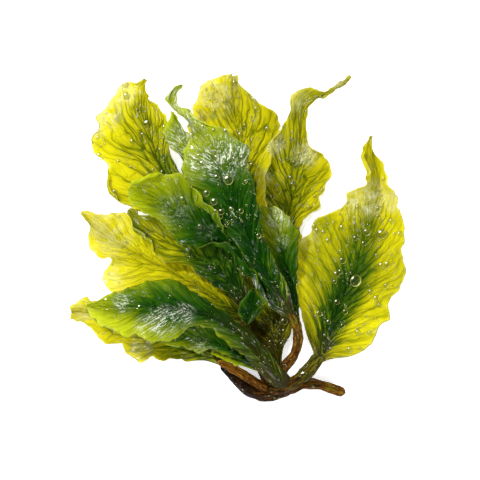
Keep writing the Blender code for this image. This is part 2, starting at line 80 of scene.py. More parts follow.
# Their markings
VEIN_SLOPE = 0.42
VEIN_CURVE = 0.7
PALE_ROLL = (0.82, 1.15)
FOAM_AND_GLINT_EDGE = (0.3, 1.2)
STEM_END = (0.1, 0.5)

STIPE_STEP = 0.7
STIPE_SIDES = 28


class Roll(NamedTuple):
    """A margin that curls up and over: its side, where it starts and ends along the blade, and its sizes."""

    side: str
    start: float
    end: float
    radius: float
    turn: float
    flap: float = 0.0
    pale: float = 0.4


class Tint(NamedTuple):
    """How green a blade is from base to tip, on its rib and at its two margins: 0 is pale and 1 is darkest.

    The spread is how far the rib's colour reaches, as a share of half the width.
    The last field is a list of places, each with its x, its y, its radius and how white the fine froth and its
    painted glints are there.
    """

    rib: tuple
    left: tuple
    right: tuple
    spread: float = 0.5
    veins: float = 0.9
    frost: tuple = ()


class Blade(NamedTuple):
    """One blade from base to tip: its rib and its two edges, named as seen when looking from base to tip.

    Brown is how far the brown of the base reaches, as a share of the length. The slot is not used.
    """

    rib: list
    left: list
    right: list
    palette: str
    tint: Tint
    ruffle: float = 0.8
    waves: float = 3.0
    phase: float = 0.0
    rib_height: float = 0.8
    rib_fade: float = 0.5
    frill: float = 1.2
    brown: float = 0.16
    slot: str = ""
    rolls: tuple = ()
    seed: int = 0


class Stipe(NamedTuple):
    """One round stem: the points of its axis, its radius at each, and its green and its amber at its two ends."""

    axis: list
    radii: list
    green: tuple = (0.0, 0.0)
    amber: tuple = (0.3, 0.3)
    seed: int = 0


class Palette(NamedTuple):
    """One kind of tissue: its colours from pale margin to dark middle, its whitish froth and painted glints, its
    pale rim with painted light, and its light and streaks.
    """

    stops: list
    light_through: tuple
    foam_and_glints: tuple
    soft_foam_and_sheen: float
    rim_paleness_and_painted_light: float
    foam_shade: float
    foam_shine: float
    stem_streaks: float


STIPES = {
    "rhizome": Stipe(
        axis=[(-6.8, -46.2, 2.2), (-3.4, -48.8, 2.4), (0.4, -52.2, 2.5), (4.5, -55, 2.7), (10.5, -55.6, 2.7),
              (16.5, -54, 2.6), (22, -52.5, 2.1), (28, -52.8, 1.8), (33, -54.4, 1.75), (36.2, -55.5, 1.7),
              (37.2, -55.9, 1.7)],
        radii=[0.9, 1.6, 2.2, 2.7, 2.8, 2.5, 2, 1.8, 1.75, 1.6, 0.9],
        green=(0, 0.45), amber=(-0.1, 0.8), seed=1,
    ),
    "right_stipe": Stipe(
        axis=[(9.5, -55, 3.6), (13, -54.4, 4.6), (17, -53, 6.4), (21.2, -50.2, 7.2), (24.8, -46.8, 7),
              (28.4, -42, 6.4)],
        radii=[1.6, 2.1, 2.25, 2.3, 2.35, 2.2], green=(0.2, 0.7), amber=(0.35, 0.6), seed=2,
    ),
    "left_stipe": Stipe(
        axis=[(10, -54.6, 4.2), (4.6, -51.4, 6), (-1.4, -47.6, 5.8), (-8, -44.2, 4.8)],
        radii=[1.6, 1.7, 1.6, 1.2], green=(0, 0.3), amber=(0.6, 0.9), seed=3,
    ),
    "back_stipe": Stipe(
        axis=[(14.6, -54, 3), (13.9, -50, 2.6), (13.4, -45, 2.6)],
        radii=[1.5, 1.4, 1.1], green=(0, 0.3), seed=4,
    ),
    "main_stem": Stipe(
        axis=[(10.6, -53.4, 3.4), (8, -46.6, 4.8), (4.6, -40, 5.8), (2.2, -33, 6.4), (1, -26, 6.8),
              (-0.6, -16, 7.2), (-5.2, -0.6, 7.8)],
        radii=[2, 1.9, 1.8, 1.6, 1.4, 1.3, 1], green=(0.1, 0.9), seed=5,
    ),
    "front_stipe": Stipe(
        axis=[(14.4, -53.8, 4), (13.4, -50.6, 6.6), (10, -47.4, 8.2), (6.2, -45.2, 8.8)],
        radii=[1.9, 1.9, 1.5, 1], green=(0.2, 0.5), seed=6,
    ),
    "centre_stipe": Stipe(
        axis=[(12, -51.6, 6.2), (15.6, -46.6, 8), (18.9, -42.2, 8.6), (20.3, -36.8, 10.2),
              (19.7, -31.4, 12.6), (17.4, -26.2, 15.6)],
        radii=[1.6, 1.75, 1.75, 1.7, 1.65, 1.3], green=(0, 0.6), amber=(0.6, 0.75), seed=7,
    ),
}

BLADES = {
    "right_blade": Blade(
        rib=[(27.9, -43.2, 6.3), (29.6, -38, 6.6), (33, -29.4, 6.2), (37.6, -20, 5.8), (41, -11, 6),
             (43.8, -1.5, 6.8), (45.8, 8, 9.6), (46.6, 15.5, 13), (47.4, 21, 15), (46, 27, 15.4),
             (46, 34.6, 14)],
        left=[(26.4, -43.6, 6.3), (25.4, -40.5, 6.8), (23.3, -35, 7.6), (22, -29.5, 8.2), (19.6, -18, 8.8),
              (19.3, -9, 9), (20.4, -2.6, 9), (24.4, 1.4, 8.4), (25.4, 5.4, 8.6), (30.6, 7.6, 10),
              (35.3, 10.4, 12), (38, 14.8, 14.2), (43, 17.4, 16.6), (44.6, 21.6, 17.2), (42.5, 26.6, 16.4),
              (43.4, 31.6, 15.2), (45.6, 34.8, 14.2)],
        right=[(29.4, -43.4, 6.3), (33, -43.4, 5.2), (40, -42.6, 3), (46.2, -38.8, 2), (48.2, -33.6, 3),
               (52.8, -28.6, 2), (52.7, -23.6, 2.4), (57.6, -17.5, 1.2), (58.5, -12, 1.6), (56.9, -5.6, 3.2),
               (58.2, 1.5, 3), (56.2, 8.6, 5.6), (54.9, 14.2, 9), (51.9, 17.2, 12.6), (51.4, 21.8, 14.4),
               (48.6, 26.6, 15.4), (46, 29.8, 15.2), (46.5, 34.5, 13.9)],
        palette="yellow",
        tint=Tint(
            rib=(0.96, 0.92, 0.92, 0.72, 0.4, 0.32, 0.34),
            left=(0.5, 0.28, 0.32, 0.33, 0.2, 0.14, 0.34),
            right=(0.4, 0.22, 0.22, 0.24, 0.16, 0.08, 0.34),
            spread=0.36, veins=0.55,
            frost=((46, 13, 7, 0.7), (40, 12.5, 5, 0.8), (53.5, 12, 4.5, 0.7), (23, -1, 5, 0.4)),
        ),
        waves=4, rib_height=1.5, rib_fade=0.3,
        rolls=(Roll("left", 0.12, 0.48, 0.5, 150, 0.5), Roll("left", 0.8, 0.97, 0.5, 165, 1)),
        seed=11,
    ),
    "upper_right_blade": Blade(
        rib=[(13.6, -46, 2.6), (13.2, -36, 2.2), (13.6, -24, 2), (15, -10, 2.2), (17, 4, 2.6), (19, 17, 3),
             (20.4, 29, 5), (21, 38, 8), (21.4, 43.6, 10.4), (23.6, 47.4, 11.6), (27.2, 49, 10.8),
             (30.6, 50.2, 9.2), (34.6, 52.4, 7.4), (39, 55.8, 5.4)],
        left=[(12.4, -46, 2.6), (8, -40.6, 1.8), (2.4, -35.4, 1.6), (-1.4, -31, 1.5), (-1.6, -24, 1.8),
              (-0.6, -16, 2.2), (3, -6, 3), (5.8, 4, 4.4), (5.6, 15, 6.2), (7, 26, 7.6), (11.2, 33, 8.2),
              (15.6, 40, 8.8), (17.1, 44.4, 11), (17.2, 47.2, 13.2), (20.6, 50.8, 14), (25, 51.6, 12.8),
              (28.6, 50.2, 10.6), (32.8, 52.3, 8.4), (36.2, 54.9, 6.6), (38.8, 56.2, 5.4)],
        right=[(14.8, -46, 2.6), (15.4, -40, 2.2), (18.2, -34.8, 1.6), (18.8, -29.8, 1.4), (22, -24.6, 1),
               (22, -14, 0.9), (21.4, -4, 1.2), (22.6, 5.4, 1.4), (27.4, 9.4, 1), (28.2, 14.4, 1.2),
               (32.5, 22.2, 1.6), (30.2, 27.8, 3.4), (24.6, 31, 5.8), (23.3, 37.4, 7.8), (24.1, 43.4, 10.2),
               (27.2, 47.2, 10.6), (30.4, 49.4, 9), (34.2, 50.8, 7.4), (37.4, 53.2, 6.2), (39.3, 55.5, 5.4)],
        palette="yellow",
        tint=Tint(
            rib=(0.62, 0.55, 0.5, 0.46, 0.42, 0.36, 0.32, 0.34),
            # its left margin is darker beside the rolled strip, partly as painted shade of the roll
            left=(0.5, 0.42, 0.42, 0.45, 0.42, 0.3, 0.26, 0.34),
            right=(0.6, 0.3, 0.16, 0.14, 0.14, 0.22, 0.26, 0.34),
            spread=0.5, veins=1,
            frost=((23, 28.5, 5, 0.75), (20, 47, 5, 0.3), (35, 52.5, 4.5, 0.6), (11.5, 32, 4.5, 0.9),
                   (7.5, 20, 4, 0.5)),
        ),
        waves=4, phase=0.3, rib_height=0.5, brown=0.34, rolls=(Roll("left", 0.33, 0.74, 0.8, 172, 2.6, 0.9),),
        seed=12,
    ),
    "upper_blade": Blade(
        rib=[(-1.8, -9.8, 7), (0.4, -3, 5.8), (1.6, 5, 4.4), (2, 15, 2.4), (1, 27, 0.2), (-0.6, 38, 1),
             (-2, 47, 4.2), (-2.4, 55.8, 9)],
        left=[(-2.8, -8.8, 7), (-2.8, -2, 5.6), (-5, 5, 4.6), (-9, 14, 3.2), (-12.4, 23, 1.8),
              (-16.4, 31, 1.4), (-18.4, 37, 1.6), (-17, 43, 2.8), (-14.8, 48.6, 5.6), (-13.6, 52.6, 8),
              (-8.4, 55.2, 9.6), (-3.6, 56.9, 10)],
        right=[(-0.8, -10.6, 7), (3.4, -2.6, 5.2), (5.2, 4, 3.6), (7.6, 12, 1.8), (11, 22, 1), (14, 31, 0.9),
               (15, 37.4, 1.2), (13, 42.8, 1.8), (7.4, 46.2, 3), (4, 49.4, 4.4), (0.8, 51.8, 6.8),
               (-0.8, 56.4, 9.4)],
        palette="yellow",
        tint=Tint(
            rib=(1, 0.9, 0.66, 0.32, 0.2, 0.1, 0.05),
            left=(0.8, 0.7, 0.42, 0.16, 0.05, 0, 0),
            right=(0.8, 0.7, 0.42, 0.22, 0.2, 0.24, 0.2),
            spread=0.6, veins=1,
            frost=((-9, 50, 8.5, 1), (-15.5, 43, 5, 0.7), (-3, 54, 4, 0.6)),
        ),
        phase=0.6, seed=13,
    ),
    "upper_left_blade": Blade(
        rib=[(-5.2, 0.2, 7.8), (-12, 7.6, 7.6), (-21, 15, 6.4), (-28, 24, 4.2), (-32, 34, 3.2),
             (-34.4, 44, 4.6), (-34.4, 50, 6.6), (-33.4, 54.8, 8.6)],
        left=[(-6.2, -0.8, 7.8), (-15, 3.4, 6.4), (-25, 6, 4.6), (-33, 8, 2.4), (-39, 9.7, 1.4),
              (-44, 12.4, 1), (-46.4, 16.4, 1.4), (-46, 21, 2.2), (-47.8, 26, 2), (-52.2, 29.2, 0.9),
              (-52.7, 33.6, 0.9), (-50.2, 37.6, 2), (-51.1, 41.2, 3.4), (-47.6, 45, 4), (-42.6, 51.6, 6.4),
              (-39.6, 54, 7.6), (-36.4, 53.4, 8.4), (-33.9, 55.2, 8.8)],
        right=[(-4.2, 1, 7.8), (-8.6, 9.4, 8.2), (-15, 16.6, 9), (-21, 21.6, 8.8), (-23.5, 27, 8.4),
               (-25, 33, 7.6), (-25.2, 39.6, 6.2), (-28.2, 45, 3.6), (-32.2, 48.2, 3), (-33.2, 51.4, 5.4),
               (-32.9, 54.6, 8.4)],
        palette="yellow",
        tint=Tint(
            rib=(1, 1, 0.92, 0.56, 0.48, 0.4, 0.25, 0.1),
            left=(0.8, 0.7, 0.44, 0.2, 0.13, 0.13, 0.1, 0.1),
            right=(1, 0.9, 0.85, 0.62, 0.35, 0.2, 0.15, 0.1),
            spread=0.45, veins=1,
            frost=((-47, 43, 6, 1), (-41, 51, 6, 0.9), (-51, 38, 4, 1)),
        ),
        waves=3.5, phase=0.1, rolls=(Roll("left", 0.38, 0.54, 0.5, 170, 0.7, -3),), seed=14,
    ),
    "left_blade": Blade(
        rib=[(1.6, -29, 5.6), (-3, -26.2, 5), (-8, -22.6, 4.2), (-17, -16.6, 2.4), (-27, -11.4, 0.6),
             (-36, -6.6, 0.1), (-45, -1.6, 0.2), (-52, 3.4, 1.8), (-56, 7.6, 3.6)],
        left=[(1, -31.4, 5.6), (-2.6, -31.2, 4.8), (-7.4, -28.8, 4.2), (-15.4, -23.8, 2.6),
              (-24.2, -20.8, 1.6), (-34, -19.8, 1), (-42, -20.6, 0.8), (-47.4, -19.2, 0.9), (-48.7, -14.4, 1),
              (-45.6, -9.4, 1.8), (-49.2, -8, 1.4), (-53.2, -5, 0.8), (-53.8, -1, 0.8), (-52.8, 3.2, 1.6),
              (-56.2, 7.2, 3.6)],
        right=[(1.8, -27.8, 5.6), (-2.2, -22.6, 5.2), (-6.4, -17, 5), (-13, -8.6, 3.6), (-22, -1.4, 2.2),
               (-31, 5.2, 1.2), (-39, 7.8, 0.9), (-47, 8, 1), (-53, 8.3, 2.2), (-56.2, 8.2, 3.6)],
        palette="yellow",
        tint=Tint(
            rib=(0.75, 0.42, 0.22, 0.12, 0.06, 0),
            left=(0.6, 0.25, 0.08, 0, 0, 0),
            right=(0.6, 0.28, 0.12, 0.04, 0, 0),
            spread=0.6, veins=0.5,
            frost=((-48, 1, 11, 0.6), (-45, -15, 7, 0.5)),
        ),
        ruffle=0.5, waves=3.5, rib_height=0.4, seed=15,
    ),
    "inner_left_blade": Blade(
        rib=[(1, -25.6, 7.6), (0, -21.2, 9.3), (-3.6, -15.6, 10.2), (-9, -11, 10.2), (-16, -7.2, 9),
             (-24, -3.2, 7.8), (-31, 1.4, 7.2), (-36, 5.6, 7), (-39, 9.2, 7.2)],
        left=[(0.2, -26, 7.6), (-2.4, -23.2, 8.8), (-5, -20.6, 9), (-9, -18.2, 8.6), (-13.8, -15.6, 7.8),
              (-18.2, -11.8, 7), (-22.4, -10.4, 6.6), (-27.4, -10, 6), (-30, -5.6, 5.8), (-34, -1.4, 5.6),
              (-37.4, 2.6, 6), (-39.4, 8.8, 7)],
        right=[(1.8, -25, 7.6), (2.8, -20.4, 9.6), (1.4, -15, 10.2), (0.4, -10, 10.8), (-3.4, -5, 11.2),
               (-14, -1, 11.2), (-22, 2.8, 10.4), (-29, 6.2, 9.6), (-34.4, 7.2, 8.6), (-38.4, 9.6, 7.4)],
        palette="yellow",
        tint=Tint(
            rib=(1, 1, 0.8, 0.4, 0.36, 0.42),
            left=(1, 0.8, 0.54, 0.42, 0.53, 0.55),
            right=(1, 1, 0.95, 0.8, 0.6, 0.48),
            spread=0.6,
        ),
        ruffle=0.5, slot="green_blade", rolls=(Roll("left", 0.62, 0.95, 0.6, 165, 0.8, 0),), seed=16,
    ),
    "lower_left_blade": Blade(
        rib=[(-6, -44.9, 4.9), (-11, -42.4, 4.4), (-18, -40, 3.6), (-26, -37.8, 3.2), (-35, -35.4, 3.6),
             (-44, -31.8, 4.6), (-51, -28.2, 6), (-55.6, -26.8, 7), (-59.4, -27, 7.4)],
        left=[(-6.4, -45.9, 4.7), (-11, -44.6, 3.4), (-18, -44.4, 1.4), (-26, -44.9, 0.6), (-31, -43.7, 0.8),
              (-35.6, -45, 0.5), (-39.8, -43, 0.5), (-42.4, -38.9, 1), (-48, -38.2, 0.7), (-50.8, -35, 1.4),
              (-54.8, -31.4, 3.4), (-59.8, -29.8, 6.2)],
        right=[(-5.6, -43.8, 5), (-10, -38.8, 5.8), (-18, -33.8, 6), (-28, -29.6, 5.8), (-38, -26.2, 6),
               (-47, -23.4, 7), (-54.6, -22.4, 8.2), (-57.8, -23.2, 8.8), (-60, -25.4, 8.4)],
        palette="yellow",
        tint=Tint(
            rib=(0.8, 0.6, 0.38, 0.22, 0.15, 0.1),
            left=(0.8, 0.5, 0.3, 0.12, 0.1, 0.1),
            right=(0.8, 0.6, 0.45, 0.32, 0.18, 0.18),
            spread=0.5,
            frost=((-55, -27, 5, 0.5), (-35, -41, 5, 0.35)),
        ),
        waves=4, phase=0.4, seed=17,
    ),
    "lower_middle_blade": Blade(
        rib=[(7.4, -45.8, 9.2), (2, -43.4, 8.9), (-4, -40.2, 9), (-11, -37.4, 9.2), (-18, -36, 9.2),
             (-25, -36.4, 8.8), (-30, -37.6, 8.4)],
        left=[(7, -46.8, 9.1), (1.6, -45.6, 8.6), (-4, -42.6, 8.4), (-9.6, -40.4, 8.4), (-14.2, -41.6, 7.6),
              (-17.4, -39.9, 8.2), (-22.4, -39.9, 7.8), (-26.4, -39, 8), (-30.2, -38.1, 8.2)],
        right=[(7.8, -44.8, 9.2), (2.4, -40, 9.7), (-3.2, -34.8, 10.6), (-10.4, -31, 11.4),
               (-17.6, -30, 11.6), (-25, -32.4, 10.2), (-30, -37, 8.8)],
        palette="green",
        tint=Tint(
            rib=(0.9, 0.85, 0.75, 0.65, 0.6),
            left=(0.6, 0.5, 0.45, 0.35, 0.3),
            right=(0.85, 0.8, 0.8, 0.75, 0.7),
            spread=0.6, veins=0.5,
            frost=((-14, -39, 4, 0.4),),
        ),
        ruffle=0.4, seed=18,
    ),
    "lower_front_blade": Blade(
        rib=[(16.8, -53, 6.6), (13.6, -50.2, 9.3), (9, -44, 12.2), (3, -36.6, 15.2), (-5, -30.8, 17.8),
             (-14, -27.2, 19.6), (-25, -25.6, 20.2), (-36, -25.4, 18.8), (-46, -25.8, 16), (-53.4, -25, 13)],
        left=[(13.6, -54, 6.4), (9.8, -52, 8.6), (4.7, -46.4, 11), (-2.2, -39.6, 13.2), (-9, -34, 14.8),
              (-15.6, -31.4, 15.6), (-19.6, -33.8, 15.4), (-24.4, -37.2, 14.4), (-29.6, -37.6, 13.8),
              (-34.6, -35.9, 14), (-39, -35.8, 13.2), (-44, -34.4, 12.8), (-49, -31.8, 12.2),
              (-52.4, -28.4, 12.2), (-53.9, -25.6, 12.8)],
        right=[(19.2, -51.6, 6.4), (17.2, -49.2, 8.6), (10.8, -41.4, 12.2), (4.4, -33.4, 13.8),
               (-3, -28.2, 15), (-10, -23.8, 15.4), (-16, -19.8, 15.2), (-21.8, -16, 14.6), (-27, -14.9, 14),
               (-34, -17, 14), (-42, -20, 13.6), (-49, -22.2, 12.8), (-53.8, -24.3, 12.8)],
        palette="green",
        tint=Tint(
            rib=(1, 1, 1, 1, 0.97, 0.86, 0.5, 0),
            left=(0.95, 0.92, 0.8, 0.6, 0.34, 0.2, 0, 0),
            right=(1, 1, 1, 0.95, 0.74, 0.56, 0.6, 0.1),
            spread=0.5, veins=0.4,
            frost=((-27, -30, 6, 1), (-20, -28, 5, 0.6), (-41, -24, 4, 0.7), (-33, -32, 4.5, 0.7)),
        ),
        ruffle=0.6, rib_height=1.2, rib_fade=0.42, brown=0.6, seed=19,
    ),
    "left_front_blade": Blade(
        rib=[(19, -29.8, 12.9), (14.6, -25, 13), (8, -16.8, 14.2), (0, -8, 16), (-8, -0.8, 16.8),
             (-17, 5.4, 17), (-26, 10.6, 16.8), (-33, 14, 16.8), (-38.6, 16.4, 17.6)],
        left=[(18.4, -30.8, 12.7), (13.6, -27.6, 12.9), (8.4, -21.8, 13.6), (3.6, -15, 14.6), (-2, -9, 15.4),
              (-7, -4, 16.2), (-14, -3.7, 16.4), (-20.6, -3.6, 16.8), (-25.2, 1.6, 17.4), (-29, 6, 17.8),
              (-34, 8.5, 18), (-39, 10.6, 18.6), (-39.7, 15.6, 18.8)],
        right=[(18.6, -28.6, 12.9), (14.8, -23, 13.1), (9, -12.6, 14.8), (2, 0, 17.4), (-5, 9, 18.4),
               (-12, 16, 19.2), (-19, 21.4, 19.6), (-26, 21.9, 19.8), (-32, 20.8, 19.6), (-37.8, 18.8, 19.2)],
        palette="green",
        tint=Tint(
            rib=(1, 1, 1, 0.94, 0.58, 0.18),
            left=(0.7, 0.76, 0.78, 0.72, 0.42, 0.08),
            right=(1, 1, 0.92, 0.6, 0.2, 0.04),
            spread=0.7, veins=0.3,
            frost=((-23, 9, 7, 0.25), (-12, 2, 4, 0.15), (4, -18, 3.5, 0.7), (8.5, -24, 4, 1),
                   (13, -27.5, 3, 0.8)),
        ),
        ruffle=0.5, phase=0.5, rib_height=1,
        rolls=(Roll("left", 0.06, 0.6, 0.95, 168, 2.7, 0), Roll("right", 0.84, 1.02, 1.1, 290, 0, 0.3)),
        seed=20,
    ),
    "centre_blade": Blade(
        rib=[(18.1, -27.2, 15.2), (14, -20.8, 19), (7.6, -10.6, 22.6), (2, 0.4, 25.6), (-3, 12, 27.6),
             (-7, 24, 28), (-12, 34, 26), (-17.6, 39.8, 23.2), (-22, 43.6, 20.6), (-24.2, 47.2, 18.4),
             (-22.8, 50.6, 17), (-20.4, 52.4, 16)],
        left=[(17.1, -27.5, 15.3), (11.8, -21, 18.6), (4.2, -11.6, 21.2), (-2.6, -1.2, 23.2),
              (-9.4, 5.4, 24.4), (-14.5, 11.5, 24.8), (-18.2, 18, 24.6), (-20.8, 24, 24), (-20, 28.8, 23.6),
              (-17.4, 33, 23), (-18.4, 38.6, 22), (-22.8, 43, 20), (-25.6, 46.4, 18.4), (-25, 50.2, 17.2),
              (-20.8, 52.9, 15.9)],
        right=[(19.1, -26.8, 15.2), (16.6, -17, 18.8), (11.8, -8, 21), (8.2, 1, 23.6), (6.4, 10, 25.2),
               (5, 19, 26.2), (3.2, 24, 26.2), (3.8, 29.4, 26.6), (0, 33, 27.6), (-5, 37, 27.2),
               (-11, 38.2, 25.8), (-15.8, 40.4, 23.6), (-17.4, 43.6, 21.2), (-20.2, 44.4, 20.2),
               (-21.3, 46.6, 19), (-21.7, 48.4, 17.8), (-19.9, 50.6, 16.8), (-19.6, 52, 16)],
        palette="green",
        tint=Tint(
            rib=(1, 1, 1, 0.98, 0.8, 0.36, 0.24, 0.3),
            left=(0.95, 0.9, 0.92, 0.72, 0.44, 0.24, 0.22, 0.3),
            right=(0.9, 0.9, 0.95, 0.9, 0.64, 0.32, 0.24, 0.3),
            spread=0.8, veins=0.3,
            frost=((-7, 27, 9, 0.9), (0, 27, 6, 0.9), (-13, 26, 7, 0.7), (-18, 38, 6, 1), (-23.5, 47, 6, 1)),
        ),
        ruffle=0.7, waves=4, rib_height=1,
        rolls=(Roll("left", 0.33, 0.6, 0.7, 165, 1.8, 0.2), Roll("right", 0.74, 0.9, 0.5, 150, 0.6)),
        seed=21,
    ),
    "pointed_blade": Blade(
        rib=[(-3.9, -4.4, 8.6), (-6.8, 3, 11.4), (-10.4, 12, 13.2), (-14, 21, 14.8), (-17.6, 29, 16.2),
             (-20.8, 36, 17.2), (-23.4, 42.8, 18)],
        left=[(-4.8, -4.8, 8.6), (-8.8, 3, 11.4), (-12.6, 12.2, 13.2), (-17.6, 21.4, 14.4),
              (-21.8, 27.6, 15.2), (-25.4, 31, 15.4), (-27.2, 35.4, 16), (-25.2, 40.2, 17.4),
              (-23.9, 43.2, 18)],
        right=[(-3.1, -4, 8.6), (-5.2, 3, 11.4), (-7.8, 11.6, 13.2), (-9.6, 20, 15), (-12, 27.4, 17),
               (-15.4, 33, 17.8), (-19.4, 37.2, 17.8), (-22.9, 42.6, 18)],
        palette="green",
        tint=Tint(
            rib=(0.9, 0.8, 0.66, 0.44, 0.36),
            left=(1, 1, 0.8, 0.44, 0.28),
            right=(0.8, 0.5, 0.3, 0.2, 0.16),
            spread=0.6, veins=0.6,
            frost=((-20, 32, 8, 0.9),),
        ),
        ruffle=0.5, seed=22,
    ),
    "small_right_blade": Blade(
        rib=[(20.3, -33.4, 11.2), (19.8, -28.6, 10.6), (19.2, -22.4, 11.2), (17.8, -15, 13), (15.2, -6, 14.8),
             (13, 2.4, 15.6), (9.6, 9.8, 15.4)],
        left=[(19.4, -33.2, 11.2), (18.8, -28.6, 10.6), (17.6, -22.6, 11.2), (15, -15.4, 12.6),
              (10.6, -6.6, 13.6), (7, 1, 14.4), (5.6, 7.4, 15), (6.8, 10.7, 15.4)],
        right=[(21.2, -33.2, 11.2), (21, -28.4, 10.6), (20.7, -22.2, 11), (20.3, -15, 12.4), (20.2, -6, 13.4),
               (20.4, 1, 14.2), (17.6, 6.4, 14.8), (12.4, 10.2, 15.4)],
        palette="green",
        tint=Tint(
            rib=(1, 1, 0.92, 0.78, 0.5, 0.36),
            left=(1, 1, 0.88, 0.68, 0.42, 0.3),
            right=(1, 0.95, 0.92, 0.8, 0.58, 0.4),
            spread=0.7, veins=0.3,
            frost=((13, 6, 5, 0.7), (14.5, -2, 3, 0.4)),
        ),
        ruffle=0.4, seed=23,
    ),
    "small_folded_blade": Blade(
        rib=[(2.4, -31.6, 8.2), (3.4, -28.4, 9.8), (4.2, -24.4, 11), (4.4, -18.9, 11.9)],
        left=[(1.5, -31.6, 8.4), (0.2, -29.2, 10.2), (-0.8, -26, 11.4), (3.8, -18.9, 12)],
        right=[(3.3, -31.6, 8.4), (6.8, -27.8, 10.6), (8.9, -23.8, 11.6), (5.2, -18.6, 12)],
        palette="green",
        tint=Tint(rib=(1, 0.95, 0.9), left=(0.85, 0.8, 0.75), right=(0.75, 0.65, 0.7), spread=0.7, veins=0.3),
        ruffle=0.2, waves=1.5, seed=24,
    ),
    "small_lower_blade": Blade(
        rib=[(8.2, -47.6, 6.9), (4.6, -46.4, 6.8), (-1, -44.4, 7), (-6, -42.6, 7), (-10.2, -41.4, 7.1)],
        left=[(7.8, -48.2, 6.9), (4.2, -47.6, 6.8), (-0.4, -46.5, 7), (-5.4, -44.6, 7), (-10.4, -41.9, 7.1)],
        right=[(8.6, -47, 6.9), (4.8, -45.4, 6.8), (-1, -42.2, 7.1), (-6, -40.6, 7.1), (-10, -40.8, 7.1)],
        palette="green",
        tint=Tint(rib=(0.8, 0.5, 0.4), left=(0.5, 0.3, 0.2), right=(0.5, 0.4, 0.3), spread=0.5, veins=0.6),
        ruffle=0.1, waves=2, seed=25,
    ),
}

# Single big drops: x, y and width
BIG_DROPS = [
    (40.5, -16, 4.4), (36, -9, 2.4), (43.5, -3, 1.8), (37, -27, 2), (-32.5, 39, 3.6), (-38, 33, 1.8),
    (-36, 44, 1.6), (-9, 11.5, 2.6), (-6.5, 8, 2.2), (-8.4, 8.2, 1.6), (-3, 9, 1.8), (-4, 19, 3.4),
    (-20, 12.5, 2.2), (-14, 3, 1.6), (18, 20, 2.2), (15.6, -30.5, 2.6), (-30, -28, 1.8), (2, 24, 1.8),
    (46, -20, 1.8), (31, -2, 2), (20.5, 27, 1.6), (49.9, 0.3, 3.4), (44.5, 1, 2.6), (27.8, -27.6, 2.2),
    (35.8, 2.5, 2.2), (40.5, -1.1, 1.8), (48.5, 6.5, 1.8), (49.2, -24.7, 1.6), (5.9, 44.4, 2.2),
    (0.2, 35.5, 2), (9.7, 37.4, 2),
]

# Sizes, in metres, and how many of the scattered drops there are to a square metre
BEADS = {
    "Spacing": 0.0006, "Density": 1100000.0, "Smallest": 0.00022, "Largest": 0.0012, "Seed": 4, "Sides": 6,
}
ROUND_DROPS = {
    "Spacing": 0.0013, "Density": 500000.0, "Smallest": 0.0006, "Largest": 0.0026, "Seed": 9, "Sides": 10,
}
MORE_DROPS = {
    "Spacing": 0.0012, "Density": 450000.0, "Smallest": 0.0007, "Largest": 0.0022, "Seed": 21, "Sides": 10,
}
ROUND_DROP_BLADES = ("right_blade", "upper_right_blade", "upper_blade", "upper_left_blade", "centre_blade")
WETTEST_BLADES = ("upper_right_blade", "upper_blade")
DROP_CLEARANCE = 0.0004
STEEPEST = 0.35
SMALLEST_FACE = 0.05e-6
CLUMPS = 170.0
RARENESS = 5.0
SMALL_DROP_HEIGHT = 0.62
BIG_DROP_HEIGHT = 0.6
BIG_DROP_LIFT = 0.1
ABOVE_THE_TUFT = 80.0

# the whitish colour of foam and of painted glints on the green blades, and of the painted glints on the stems
FOAM_AND_GLINT_WHITE = (0.86, 0.92, 0.68)
BROWN = (0.046, 0.028, 0.004)
PALETTES = {
    "yellow": Palette(
        stops=[(0.0, (0.88, 0.83, 0.012)), (0.2, (0.65, 0.61, 0.006)), (0.38, (0.38, 0.375, 0.004)),
               (0.55, (0.165, 0.205, 0.003)), (0.75, (0.046, 0.106, 0.003)), (1.0, (0.007, 0.034, 0.002))],
        light_through=(0.94, 0.86, 0.012, 1.0), foam_and_glints=(0.97, 0.97, 0.50),
        soft_foam_and_sheen=0.55, rim_paleness_and_painted_light=0.45, foam_shade=0.06, foam_shine=0.05, stem_streaks=1.3,
    ),
    "green": Palette(
        stops=[(0.0, (0.72, 0.78, 0.020)), (0.2, (0.45, 0.52, 0.006)), (0.4, (0.225, 0.29, 0.003)),
               (0.6, (0.084, 0.145, 0.002)), (0.8, (0.017, 0.072, 0.002)), (1.0, (0.003, 0.030, 0.001))],
        light_through=(0.50, 0.66, 0.012, 1.0), foam_and_glints=FOAM_AND_GLINT_WHITE,
        soft_foam_and_sheen=0.05, rim_paleness_and_painted_light=0.12, foam_shade=0.4, foam_shine=0.45, stem_streaks=2.2,
    ),
}
BARK_STOPS = [
    (0.34, (0.004, 0.002, 0.001)), (0.48, (0.030, 0.010, 0.001)), (0.62, (0.15, 0.055, 0.003)),
    (0.78, (0.50, 0.26, 0.006)),
]
GREEN_BARK_STOPS = [(0.3, (0.008, 0.013, 0.002)), (0.5, (0.056, 0.068, 0.003)), (0.72, (0.28, 0.27, 0.008))]

# The lamps' places and sizes, in metres, and their power
# the side of the key lamp, on which the drops' highlight and dark rim are painted
GLINT_SIDE = (-0.34, 0.40, 0.85)
LAMPS = {
    "key": ((-0.50, 0.55, 0.80), 0.13, 10.4),
    "right_fill": ((0.75, 0.30, 0.75), 0.45, 4.2),
    "lower_fill": ((0.10, -0.75, 0.80), 0.5, 3.5),
    "left_fill": ((-0.80, -0.25, 0.75), 0.45, 3.6),
}
CAMERA_PLACE = (0.00081, -0.001085, 1.212)
CAMERA_LENS = 257.0
FLOOR_HEIGHT = -0.0003


def in_frame(points):
    """Points of the tables, in millimetres, moved to the part's own frame in metres."""
    moved = np.array(points, float)
    moved[..., :2] -= PLAN_CENTRE
    return moved * MM


